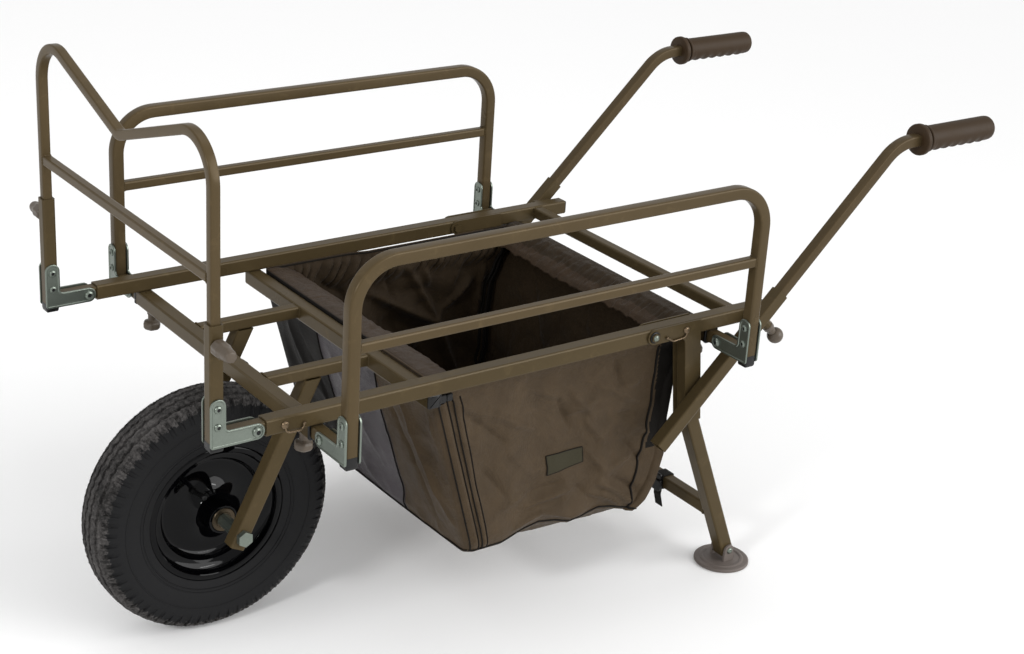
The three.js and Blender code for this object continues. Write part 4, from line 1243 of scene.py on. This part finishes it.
# Creases read in the photo: start and end in pixels of its frame, then half width and depth in mm
SEEN_CREASES = {
    NEAR: ((453, 403, 498, 416, 7, 6), (498, 416, 535, 431, 8, 6), (467, 416, 506, 444, 9, -5),
           (472, 408, 496, 413, 5, -4), (532, 390, 566, 401, 9, 5), (562, 401, 574, 431, 8, -5),
           (574, 416, 600, 403, 7, 6), (577, 396, 598, 418, 7, 5), (590, 424, 608, 442, 8, 6),
           (603, 387, 642, 403, 9, 5), (620, 361, 626, 388, 8, -6), (624, 390, 645, 382, 7, 5),
           (637, 426, 655, 437, 8, 5), (618, 418, 642, 416, 8, -4), (629, 444, 645, 463, 10, -6),
           (613, 471, 642, 452, 8, 6), (603, 486, 642, 510, 8, 7), (590, 497, 629, 515, 7, 6),
           (616, 481, 647, 497, 8, -5), (532, 510, 577, 489, 8, 6), (537, 497, 566, 486, 8, -5),
           (577, 486, 600, 507, 9, -5), (519, 533, 545, 523, 8, 7), (545, 523, 587, 523, 7, 6),
           (498, 512, 530, 494, 10, 4), (483, 471, 506, 497, 11, -4), (511, 455, 535, 476, 10, 4),
           (592, 455, 613, 476, 8, 5)),
    FAR: ((369, 293, 431, 319, 8, -17), (405, 267, 431, 315, 8, -18), (467, 277, 433, 315, 7, -17),
          (491, 281, 485, 327, 8, -11), (451, 291, 435, 315, 6, 10), (421, 267, 425, 281, 6, -11)),
}
SEEN_WIDTH = {NEAR: -BAG_HALF, FAR: 258}  # the near panel, and the inside of the far one
# Further creases, chosen on the panels: start and end (along the panel, height), half width and depth in mm
CREASES = {
    REAR: ((-200, 420, -120, 260, 12, 5), (180, 430, 100, 250, 12, 5), (-60, 300, 60, 200, 13, -5),
           (-220, 200, -90, 160, 10, 5), (210, 200, 80, 150, 10, 5), (20, 430, -10, 320, 11, 4)),
    FAR: ((590, 310, 640, 190, 11, -13), (400, 400, 470, 280, 11, -13), (480, 330, 560, 240, 9, 11),
          (330, 380, 350, 250, 10, -10), (560, 300, 480, 170, 11, -10), (690, 400, 680, 300, 7, -10),
          (640, 420, 625, 380, 6, -8), (480, 410, 500, 360, 7, 8), (670, 300, 690, 200, 8, 8)),
    FRONT: ((-150, 410, -215, 240, 7, 5), (-115, 390, -190, 190, 8, -5), (-170, 330, -240, 200, 6, 4),
            (60, 400, -40, 220, 12, 3), (150, 380, 90, 200, 12, -3), (200, 420, 160, 300, 9, 4),
            (-235, 420, -250, 300, 7, 4)),
}
# How far the near side's lower edge lifts, along the bag
LOWER_EDGE = ((323, 0), (390, 3), (430, 12), (471, 22), (505, 16), (534, 6), (560, 11), (596, 21), (625, 15),
              (650, 6), (672, 0), (760, 0))
# Padded ribs between the seams beside each front corner: share across the panel, half width
RIBS = ((0.018, 0.01), (0.066, 0.01))
SEAMS = ((0.004, 0.004), (0.033, 0.032), (0.052, 0.051), (0.08, 0.076))  # shares at the hem and at the floor
REAR_SEAM = ((100, 672), (131, 673), (197, 675), (266, 684), (341, 692), (437, 693), (500, 693))  # Z and X
PLEAT_PITCH = 19
# Strength of the creases, pleats and crumples on the near, rear, far and front sides
CREASE_SHARE = (1.5, 1.2, 1, 1.2)
PLEAT_SHARE = (0.12, 0.5, 2.5, 0.3)
CRUMPLE_SHARE = (0.8, 1.2, 1.9, 1.0)


def from_front(side, across):
    """Share along a side panel from its front corner; the far panel runs from its rear."""
    return 1 - across if side == FAR else across


def on_line(table, share):
    for (s0, x0, z0), (s1, x1, z1) in zip(table, table[1:]):
        if share <= s1 or s1 == 1:
            local = (share - s0) / (s1 - s0)
            return x0 + (x1 - x0) * local, z0 + (z1 - z0) * local


def bag_ring(share):
    """Points round the bag at one level, from its near front corner."""
    front_x, front_z = on_line(BAG_FRONT, share)
    rear_x, rear_z = on_line(BAG_REAR, share)
    low = max(0.0, (share - 0.9) / 0.1)
    half = BAG_HALF + 2.5 * (1 - ramped(share, 0, 0.1)) - 7 * low ** 2
    radius = 12 + 6 * share
    corners = [(front_x, -half), (rear_x, -half), (rear_x, half), (front_x, half)]
    outline = rounded(corners, [radius] * 4, 4)
    arcs = [outline[i * 5:(i + 1) * 5] for i in range(4)]
    points = []
    for i in range(4):
        here, there = arcs[i], arcs[(i + 1) % 4]
        path = here[2:] + [here[4].lerp(there[0], k / (SIDE_CELLS - 4)) for k in range(1, SIDE_CELLS - 4)]
        points += path + there[:2]
    span = rear_x - front_x
    return [Vector((p.x, p.y, front_z + (rear_z - front_z) * (p.x - front_x) / span)) for p in points]


def seen_on_side(u, v, width):
    """Place along the bag and height, in mm, that the photo shows at pixel (u, v) on a side panel."""
    right, up, back = camera_axes(*map(math.radians, (PHOTO_AZIMUTH, PHOTO_ELEVATION, PHOTO_ROLL)))
    focal = PHOTO_LENS / SENSOR * PHOTO_WIDTH
    ray = right * (u - PHOTO_WIDTH / 2) - up * (v - PHOTO_HEIGHT / 2) - back * focal
    reach = (width * MM - PHOTO_EYE[1]) / ray.y
    place = Vector(PHOTO_EYE) + ray * reach - spot(0, 0, 0)
    return place.x / MM, place.z / MM


def side_creases(side):
    """Every crease of a side, in mm along its panel and up."""
    width = SEEN_WIDTH.get(side)
    seen = [(*seen_on_side(u0, v0, width), *seen_on_side(u1, v1, width), half, rise)
            for u0, v0, u1, v1, half, rise in SEEN_CREASES.get(side, ())]
    return seen + list(CREASES.get(side, ()))


ALL_CREASES = [side_creases(side) for side in (NEAR, REAR, FAR, FRONT)]


def crease_height(side, along, height):
    """Height of the soft creases at a place on a panel."""
    total = 0.0
    for x0, z0, x1, z1, half, rise in ALL_CREASES[side]:
        dx, dz = x1 - x0, z1 - z0
        run = min(1.0, max(0.0, ((along - x0) * dx + (height - z0) * dz) / (dx * dx + dz * dz)))
        off = math.hypot(along - x0 - dx * run, height - z0 - dz * run) / half
        if off < 3:
            peak = math.exp(-1.3 * (math.sqrt(off * off + 0.04) - 0.2))
            total += rise * peak * math.sin(math.pi * (0.1 + 0.8 * run)) ** 0.6
    return total


def crumple(along, height, side):
    """Sharp little ridges between soft hollows, as crushed cloth shows."""
    place = Vector((along * 0.0085, height * 0.0085, side * 3.7))
    bend = noise.noise_vector(place * 0.6) * 0.9
    broad = 0.34 - abs(noise.noise(place + bend))
    fine = 0.3 - abs(noise.noise(place * 2.7 + bend * 1.7 + Vector((0, 0, 5))))
    return broad * 8 + fine * 3.4


def bag_swell(side, across, down, point, gather, belly):
    """How far the cloth stands out from the plain panel, in millimetres."""
    flank = side in (NEAR, FAR)
    along = point.x if flank else point.y
    clear = 0 if flank else 0.6 if side == FRONT else 1.5
    hang = math.sin(math.pi * across) * math.sin(math.pi * min(1, down * 0.94 + 0.06))
    edge = ramped(min(across, 1 - across), 0, 0.06) * ramped(1 - down, 0, 0.05) * ramped(down, 0.02, 0.16)
    loose = CRUMPLE_SHARE[side]
    if side == NEAR:
        loose += 0.5 * ramped(point.x, 420, 640) * ramped(460 - point.z, 60, 220)
    slant = along + (467 - point.z) * (0.7 if side == FAR else -0.1)
    sway = noise.noise(Vector((slant * 0.017, side * 3.1, 8.8))) * 15
    wave = abs(math.sin(math.pi * (slant + sway) / PLEAT_PITCH)) ** 0.8
    shut = ramped(down, 0.012, 0.035) * (1 - ramped(down, 0.09, 0.19))
    uneven = 0.75 + 0.7 * noise.noise(Vector((along * 0.03, 2, side)))
    pleat = gather * PLEAT_SHARE[side] * wave * shut * uneven
    creases = crease_height(side, along, point.z) * CREASE_SHARE[side]
    if flank:
        forward = from_front(side, across)
        bulge = sum(math.exp(-((forward - place) / half) ** 2) for place, half in RIBS)
        ribs = bulge * 3 * ramped(down, 0.05, 0.12)
        aside = (3 + 11 * ramped(point.x, 385, 450)) * ramped(down, 0, 0.12)
    else:
        ribs, aside = 0, 0
        edge *= ramped(down, 0.08, 0.3)
    return (belly * clear * hang + edge * (creases + crumple(along, point.z, side) * loose) - pleat - aside
            + ribs * (1 - ramped(down, 0.95, 1)))


def outward(side):
    return Vector(((0, -1, 0), (1, 0, 0), (0, 1, 0), (-1, 0, 0))[side])


def bag_skin(sizes):
    """Rows of points down the bag's outer face."""
    gather, belly = sizes.gather / MM, sizes.belly / MM
    ease = 3  # how far short of its limit the cloth begins to flatten
    rows = []
    for row in range(DOWN_CELLS + 1):
        down = row / DOWN_CELLS
        moved = []
        for i, point in enumerate(bag_ring(down)):
            side, step = divmod(i, SIDE_CELLS)
            across = step / SIDE_CELLS
            swell = bag_swell(side, across, down, point, gather, belly)
            blend = ramped(min(step, SIDE_CELLS - step), 0, 3)
            corner = (outward(side) * (0.5 + 0.5 * blend)
                      + outward(side - 1 if step < SIDE_CELLS / 2 else (side + 1) % 4) * (0.5 - 0.5 * blend))
            place = point + corner * swell
            limit = BAG_LIMIT + (LEG_ROOM - BAG_LIMIT) * ramped(place.x, 400, 450)
            over = abs(place.y) - limit + ease
            if over > 0:
                place.y = math.copysign(limit - ease * math.exp(-over / ease), place.y)
            place.x = max(BAG_FRONT[0][1] - 0.3, min(BAG_REAR[0][1] + 0.3, place.x))
            low = ramped(down, 0.78, 1)
            place.z += low * (between(LOWER_EDGE, point.x) * (0.4 + 0.6 * (place.y < 0))
                              * abs(place.y / BAG_HALF) ** 3 - 4 * math.cos(place.y / BAG_HALF * math.pi / 2))
            moved.append(place)
        rows.append(moved)
    return rows


def bag_floor(rows, points, faces):
    """Fills the bottom of the bag with a sagging, crumpled sheet that shares the lowest ring."""
    count = 4 * SIDE_CELLS
    base = rows[-1]
    start = DOWN_CELLS * count
    span = range(SIDE_CELLS + 1)
    near, far = [base[k] for k in span], [base[3 * SIDE_CELLS - k] for k in span]
    front, rear = [base[-k % count] for k in span], [base[SIDE_CELLS + k] for k in span]
    index = {}
    for a in span:
        for b in span:
            u, v = a / SIDE_CELLS, b / SIDE_CELLS
            if b == 0:
                index[a, b] = start + a
            elif b == SIDE_CELLS:
                index[a, b] = start + (3 * SIDE_CELLS - a) % count
            elif a == 0:
                index[a, b] = start + (-b % count)
            elif a == SIDE_CELLS:
                index[a, b] = start + SIDE_CELLS + b
            else:
                point = (near[a] * (1 - v) + far[a] * v + front[b] * (1 - u) + rear[b] * u
                         - (near[0] * (1 - u) * (1 - v) + near[-1] * u * (1 - v)
                            + far[0] * (1 - u) * v + far[-1] * u * v))
                inside = ramped(min(u, 1 - u, v, 1 - v), 0, 0.1)
                point.z -= between(LOWER_EDGE, point.x) * 0.9 * ramped(v, 0, 0.022) * (1 - v) ** 2
                point.z -= (9 * math.sin(math.pi * u) * math.sin(math.pi * v)
                            + crumple(point.x, point.y, 5) * 0.8 * inside)
                index[a, b] = len(points)
                points.append(point)
    for a in range(SIDE_CELLS):
        for b in range(SIDE_CELLS):
            faces.append((index[a, b], index[a, b + 1], index[a + 1, b + 1], index[a + 1, b]))


def seam_x(height):
    """Where the rear seam of the sides runs, at a height."""
    return between(REAR_SEAM, height)


def make_bag(sizes):
    rows = bag_skin(sizes)
    count = 4 * SIDE_CELLS
    points = [p for ring in rows for p in ring]
    faces = []
    for row in range(DOWN_CELLS):
        for i in range(count):
            j = (i + 1) % count
            faces.append((row * count + i, row * count + j, (row + 1) * count + j, (row + 1) * count + i))
    bag_floor(rows, points, faces)
    mesh = skin_mesh("bag_cloth", points, faces)
    piece = shown("bag_cloth", mesh, "cloth", "deck", sharp=180, replaces=["bag"],
                  more=["lining", "trim", "inside", "inside", "inside"])
    for polygon in mesh.polygons:
        centre = sum((points[k] for k in polygon.vertices), Vector()) / len(polygon.vertices)
        side = (polygon.index % count) // SIDE_CELLS
        if polygon.index >= DOWN_CELLS * count:
            continue
        # Painted shade: on the front, the part beyond the grey panel towards the far side takes the dark trim
        # to stand for its shade; the panel's strip above 440 mm takes the trim too.
        if side == FRONT and centre.y > -PANEL_HALF:
            polygon.material_index = 1 if centre.y < PANEL_HALF and centre.z < 440 else 2
        # On the sides, the strip behind the rear seam above 250 mm takes the dark trim: partly a darker
        # panel, partly painted shade of the rear corner.
        elif side in (NEAR, FAR) and centre.x > seam_x(centre.z) and centre.z > 250:
            polygon.material_index = 2
    # The solidified reverse of the cloth takes the last slot, the inside colour, which is painted shade.
    thick = piece.modifiers.new("cloth_thickness", "SOLIDIFY")
    thick.thickness = sizes.cloth
    thick.offset = -1
    thick.material_offset = 5
    settle(piece)
    fold_away(piece)
    return rows


def settle(piece):
    """Makes a piece's modifiers part of its mesh."""
    graph = bpy.context.evaluated_depsgraph_get()
    mesh = bpy.data.meshes.new_from_object(piece.evaluated_get(graph), preserve_all_data_layers=True,
                                           depsgraph=graph)
    piece.modifiers.clear()
    piece.data = mesh


def fold_away(piece):
    """Gives the piece its own copy of its mesh."""
    top = spot(500, 0, 467)
    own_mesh(piece)


# Bag trim

def bag_place(rows, side, across, down):
    """Point and outward normal on the bag's skin."""
    count = 4 * SIDE_CELLS
    column = (side + across) * SIDE_CELLS
    row = min(DOWN_CELLS - TINY, max(0, down * DOWN_CELLS))
    i, j = int(column), int(row)
    u, v = column - i, row - j

    def at(row_index, step):
        return rows[row_index][step % count]

    p00, p10 = at(j, i), at(j, i + 1)
    p01, p11 = at(j + 1, i), at(j + 1, i + 1)
    point = (p00 * (1 - u) + p10 * u) * (1 - v) + (p01 * (1 - u) + p11 * u) * v
    normal = (p10 - p00).cross(p01 - p00)
    if normal.length < TINY:
        normal = outward(side)
    normal = normal.normalized()
    if normal.dot(outward(side)) < 0:
        normal = -normal
    return point, normal


def panel_share(x, z):
    """Shares across and down the near side of a place on it."""
    low, high = 0.0, 1.0
    for _ in range(24):
        down = (low + high) / 2
        (front_x, front_z), (rear_x, rear_z) = on_line(BAG_FRONT, down), on_line(BAG_REAR, down)
        across = (x - front_x) / (rear_x - front_x)
        if front_z + (rear_z - front_z) * across > z:
            low = down
        else:
            high = down
    return across, down


def skin_run(rows, side, ends, out, steps=60):
    """Stations of a straight run over a panel, held out from the cloth."""
    (a0, d0), (a1, d1) = ends
    stations = []
    for k in range(steps + 1):
        share = k / steps
        point, normal = bag_place(rows, side, a0 + (a1 - a0) * share, d0 + (d1 - d0) * share)
        stations.append((point + normal * out, normal))
    return stations


def along_skin(shape, stations, section):
    """A trim through (point, normal) stations; its section's pairs run across it and outwards."""
    rings = []
    last = len(stations) - 1
    for k, (point, normal) in enumerate(stations):
        ahead = stations[min(k + 1, last)][0] - stations[max(k - 1, 0)][0]
        ahead.normalize()
        across = ahead.cross(normal).normalized()
        level = across.cross(ahead)
        rings.append([point + across * x + level * y for x, y in section])
    shape.loft(rings)


def cord_along(shape, stations, radius, sides=8):
    """A round trim through (point, normal) stations."""
    along_skin(shape, stations, circle(sides, radius))


def band_along(shape, stations, half, thick, lift):
    """A flat tape through (point, normal) stations, lying on the skin."""
    section = ((-1, 0), (1, 0), (1, 0.7), (0.9, 1), (-0.9, 1), (-1, 0.7))
    along_skin(shape, stations, [(half * x, lift + thick * y) for x, y in section])


def hem_band(name, profile, ridges, bunch, coats, split):
    """A folded cloth band along a crossbar: profile pairs (X, Z) run from the bar into the bag."""
    columns, rows = 150, 4 * (len(profile) - 1)
    points, faces = [], []
    for a in range(columns + 1):
        y = HEM_HALF * (2 * a / columns - 1)
        for b in range(rows + 1):
            share = b / 4
            k = min(int(share), len(profile) - 2)
            local = share - k
            (x0, z0), (x1, z1) = profile[k], profile[k + 1]
            x, z = x0 + (x1 - x0) * local, z0 + (z1 - z0) * local
            inner = ramped(b / rows, 0, 0.25)
            wrinkle = noise.noise(Vector((x * 0.05, y * 0.021, 3.3))) + 0.6 * noise.noise(
                Vector((x * 0.11, y * 0.06, 7.9)))
            gathers = (0.34 - abs(noise.noise(Vector((x * 0.02, y * 0.09, 1.4))))) * 2
            rise = (wrinkle * bunch + gathers * bunch) * inner + ridges * math.sin(2 * math.pi * b / rows * 3)
            points.append((x + wrinkle * 2 * inner, y, z + max(rise, -2.5 if b > rows / 3 else 0)))
    for a in range(columns):
        for b in range(rows):
            k = a * (rows + 1) + b
            faces.append((k, k + 1, k + rows + 2, k + rows + 1))
    mesh = skin_mesh(name, points, faces, outward=False)
    piece = shown(name, mesh, coats[0], "deck", sharp=180, more=coats[1:])
    for polygon in mesh.polygons:
        polygon.material_index = int(len(coats) > 1 and polygon.index % rows >= split)
    thick = piece.modifiers.new("cloth_thickness", "SOLIDIFY")
    thick.thickness = 1.2 * MM
    settle(piece)
    fold_away(piece)


def buckle(shape, matrix, width, height):
    """A side-release buckle lying on +Z: a frame, two prongs and a centre bar."""
    w, h = width / 2, height / 2
    body = rounded([(w, h * 0.3), (-w, h * 0.3), (-w * 0.86, -h), (w * 0.86, -h)], [4] * 4, 4)
    head = rounded([(w * 0.92, h), (-w * 0.92, h), (-w * 0.8, h * 0.34), (w * 0.8, h * 0.34)], [3] * 4, 4)
    for outline, low, high in ((body, 0, 6.5), (head, 0.6, 5.4)):
        levels = ((0.8, low), (0, low + 0.8), (0, high - 1.4), (1.4, high))
        shape.loft([[(p.x, p.y, z) for p in inset(outline, cut)] for cut, z in levels], matrix=matrix)
    for side in (-1, 1):
        prong = rounded([(side * w * 1.1, h * 0.1), (side * w * 0.8, h * 0.1), (side * w * 0.8, -h * 0.55),
                         (side * w * 1.1, -h * 0.4)][::side], [1.5] * 4, 3)
        levels = ((0.6, 1), (0, 1.6), (0, 4.4), (0.6, 5))
        shape.loft([[(p.x, p.y, z) for p in inset(prong, cut)] for cut, z in levels], matrix=matrix)


def make_piping(sizes, rows):
    """Cords down the seams, inside the rear corners and round the hem and the floor."""
    radius = sizes.piping / MM
    seams = Shape()

    def cord(side, ends, thick=1.0, out=0.3, steps=60):
        cord_along(seams, skin_run(rows, side, ends, radius * out, steps), radius * thick)

    within = -(1.8 + radius) / radius
    seam_top, seam_drop, seam_steps = 436, 300, 60
    for side in (NEAR, FAR):
        for top, low in SEAMS:
            cord(side, [(from_front(side, top), 0.08), (from_front(side, low), SEAM_FOOT)], 0.75)
        path = []
        for k in range(seam_steps + 1):
            height = seam_top - seam_drop * k / seam_steps
            across, down = panel_share(seam_x(height), height)
            point, normal = bag_place(rows, side, from_front(side, across), min(down, SEAM_FOOT))
            path.append((point + normal * (radius * 0.4), normal))
        cord_along(seams, path, radius * 1.3)
        for share in (0.992, 0.974, 0.954):
            place = from_front(side, share)
            cord(side, [(place, 0.02), (place, 0.95)], 1.7, within)
    for y in (-PANEL_HALF, PANEL_HALF):
        share = 0.5 - y / (2 * BAG_HALF)
        cord(FRONT, [(share, 0.09), (share, SEAM_FOOT)])
    for side in (NEAR, REAR, FAR, FRONT):
        cord(side, [(0.001, SEAM_FOOT), (0.999, SEAM_FOOT)], steps=140)
        cord(side, [(0.001, 0.008), (0.999, 0.008)], out=-0.8, steps=140)
    fold_away(shown("bag_piping", seams.mesh("bag_piping"), "trim", "deck", sharp=60))


def make_hem_bands():
    front = ((244.4, 466.5), (262, 467.5), (286, 462), (303, 453), (306, 444))
    rear = ((780, 464.2), (766, 466.5), (752, 467.5), (740, 462), (730, 455), (716, 448), (709, 440))
    hem_band("bag_front_band", front, 0.5, 1.6, ["band"], 0)
    # The rear band's first rows, over the crossbar, take the inside colour as painted shade; the rest takes
    # the band colour.
    hem_band("bag_rear_band", rear, 0.2, 3.4, ["inside", "band"], 16)


def make_patch(rows):
    """The blank woven patch on the near side, with a cord round its edge."""
    patch, edge = Shape(), Shape()
    corners = [Vector(pair) for pair in ((471, 285), (549, 284), (553.5, 256), (476, 249.5))]
    cells, edge_steps = 28, 20
    grid = []
    for a in range(cells + 1):
        for b in range(cells + 1):
            u, v = a / cells, b / cells
            flat = corners[0].lerp(corners[1], u).lerp(corners[3].lerp(corners[2], u), v)
            point, normal = bag_place(rows, NEAR, *panel_share(*flat))
            grid.append(point + normal * 1.4)
    starts = [a * (cells + 1) + b for a in range(cells) for b in range(cells)]
    patch.add(grid, [(k, k + 1, k + cells + 2, k + cells + 1) for k in starts])
    piece = shown("bag_blank_patch", patch.mesh("blank_patch"), "label", "deck", sharp=60)
    thick = piece.modifiers.new("patch_thickness", "SOLIDIFY")
    thick.thickness = 1.1 * MM
    settle(piece)
    fold_away(piece)
    for start, end in zip(corners, corners[1:] + corners[:1]):
        path = []
        for step in range(edge_steps + 1):
            flat = start.lerp(end, step / edge_steps)
            point, normal = bag_place(rows, NEAR, *panel_share(*flat))
            path.append((point + normal, normal))
        cord_along(edge, path, 0.9, 6)
    fold_away(shown("bag_patch_edge", edge.mesh("patch_edge"), "trim", "deck", sharp=60))


def make_straps(sizes, rows):
    """Two straps down the bag's rear with their buckles, and the small buckles at its front corners."""
    straps, buckles = Shape(), Shape()
    half = sizes.strap / MM / 2
    out = sizes.piping / MM * 0.3
    strap_y = 228
    for sign in (-1, 1):
        across = 0.5 + sign * strap_y / (2 * BAG_HALF)
        band_along(straps, skin_run(rows, REAR, [(across, 0.16), (across, 0.97)], out, 70), half, 1.6, 0.4)
        point, normal = bag_place(rows, REAR, across, 0.7)
        buckle(buckles, axes(point + normal * 1.5, normal, (0, 0, 1)), 30, 42)
        corner = (254, sign * (BAG_HALF + 3.5), 444)
        buckle(buckles, axes(corner, (0, sign, 0), (1, 0, 0)), 15, 34)
    fold_away(shown("bag_straps", straps.mesh("bag_straps"), "trim", "deck", sharp=60))
    fold_away(shown("bag_buckles", buckles.mesh("bag_buckles"), "black", "deck", sharp=40))


# Operators and panel

class TROLLEY_OT_stage(bpy.types.Operator):
    """Makes the camera, the floor, the white surround and the soft lights"""
    bl_idname = "trolley.stage"
    bl_label = "Stage"

    def execute(self, context):
        make_stage(context.scene.trolley_studio)
        return {"FINISHED"}


class TROLLEY_OT_cad_finishes(bpy.types.Operator):
    """Paints and plates the tubes and bolts that come straight from the frame"""
    bl_idname = "trolley.cad_finishes"
    bl_label = "Tube and bolt finishes"

    def execute(self, context):
        make_cad_finishes()
        return {"FINISHED"}


class TROLLEY_OT_bent_tubes(bpy.types.Operator):
    """Makes the gate hoops and the handle tubes"""
    bl_idname = "trolley.bent_tubes"
    bl_label = "Bent tubes"

    def execute(self, context):
        make_bent_tubes()
        return {"FINISHED"}


class TROLLEY_OT_brackets(bpy.types.Operator):
    """Makes the folding brackets with their rivets and hinge bolts"""
    bl_idname = "trolley.brackets"
    bl_label = "Folding brackets"

    def execute(self, context):
        make_brackets(context.scene.trolley_sizes)
        return {"FINISHED"}


class TROLLEY_OT_wheel(bpy.types.Operator):
    """Makes the tyre, the rim, the valve and the hub seals"""
    bl_idname = "trolley.wheel"
    bl_label = "Wheel"

    def execute(self, context):
        make_tyre(context.scene.trolley_sizes)
        make_rim()
        return {"FINISHED"}


class TROLLEY_OT_grips(bpy.types.Operator):
    """Makes the two rubber grips"""
    bl_idname = "trolley.grips"
    bl_label = "Grips"

    def execute(self, context):
        make_grips(context.scene.trolley_sizes)
        return {"FINISHED"}


class TROLLEY_OT_fasteners(bpy.types.Operator):
    """Makes the clamp knobs and the locking pins"""
    bl_idname = "trolley.fasteners"
    bl_label = "Knobs and pins"

    def execute(self, context):
        make_knobs()
        make_pins()
        return {"FINISHED"}


class TROLLEY_OT_feet(bpy.types.Operator):
    """Makes the two swivelling feet"""
    bl_idname = "trolley.feet"
    bl_label = "Feet"

    def execute(self, context):
        make_feet()
        return {"FINISHED"}


class TROLLEY_OT_plugs(bpy.types.Operator):
    """Makes the black plugs, caps and bushes in the tube ends"""
    bl_idname = "trolley.plugs"
    bl_label = "Plugs and bushes"

    def execute(self, context):
        make_plugs()
        return {"FINISHED"}


class TROLLEY_OT_welds(bpy.types.Operator):
    """Makes the weld beads and the straps round the legs' crossbar"""
    bl_idname = "trolley.welds"
    bl_label = "Welds and leg straps"

    def execute(self, context):
        make_welds(context.scene.trolley_sizes)
        make_leg_straps(context.scene.trolley_sizes)
        return {"FINISHED"}


class TROLLEY_OT_bag(bpy.types.Operator):
    """Makes the bag with its seams, hem and blank patch"""
    bl_idname = "trolley.bag"
    bl_label = "Bag"

    def execute(self, context):
        sizes = context.scene.trolley_sizes
        rows = make_bag(sizes)
        make_piping(sizes, rows)
        make_hem_bands()
        make_patch(rows)
        make_straps(sizes, rows)
        return {"FINISHED"}


STEPS = (TROLLEY_OT_stage, TROLLEY_OT_cad_finishes, TROLLEY_OT_bent_tubes, TROLLEY_OT_brackets,
         TROLLEY_OT_wheel, TROLLEY_OT_grips, TROLLEY_OT_fasteners, TROLLEY_OT_feet, TROLLEY_OT_plugs,
         TROLLEY_OT_welds, TROLLEY_OT_bag)
GROUPS = {"trolley_sizes": TrolleySizes, "trolley_colours": TrolleyColours, "trolley_studio": TrolleyStudio}


class TROLLEY_PT_panel(bpy.types.Panel):
    """Lists the trolley's settings and its steps"""
    bl_idname = "TROLLEY_PT_panel"
    bl_label = "Fishing trolley"
    bl_space_type = "VIEW_3D"
    bl_region_type = "UI"
    bl_category = "Trolley"

    def draw(self, context):
        for group in GROUPS:
            box = self.layout.box()
            for name in GROUPS[group].__annotations__:
                box.prop(getattr(context.scene, group), name)
        for step in STEPS:
            self.layout.operator(step.bl_idname)


def register():
    for kind in (*GROUPS.values(), *STEPS, TROLLEY_PT_panel):
        bpy.utils.register_class(kind)
    for name, kind in GROUPS.items():
        setattr(bpy.types.Scene, name, bpy.props.PointerProperty(type=kind))


def unregister():
    for name in GROUPS:
        delattr(bpy.types.Scene, name)
    for kind in reversed((*GROUPS.values(), *STEPS, TROLLEY_PT_panel)):
        bpy.utils.unregister_class(kind)


def main():
    register()
    for step in STEPS:
        group, name = step.bl_idname.split(".")
        getattr(getattr(bpy.ops, group), name)()


if __name__ == "__main__":
    main()
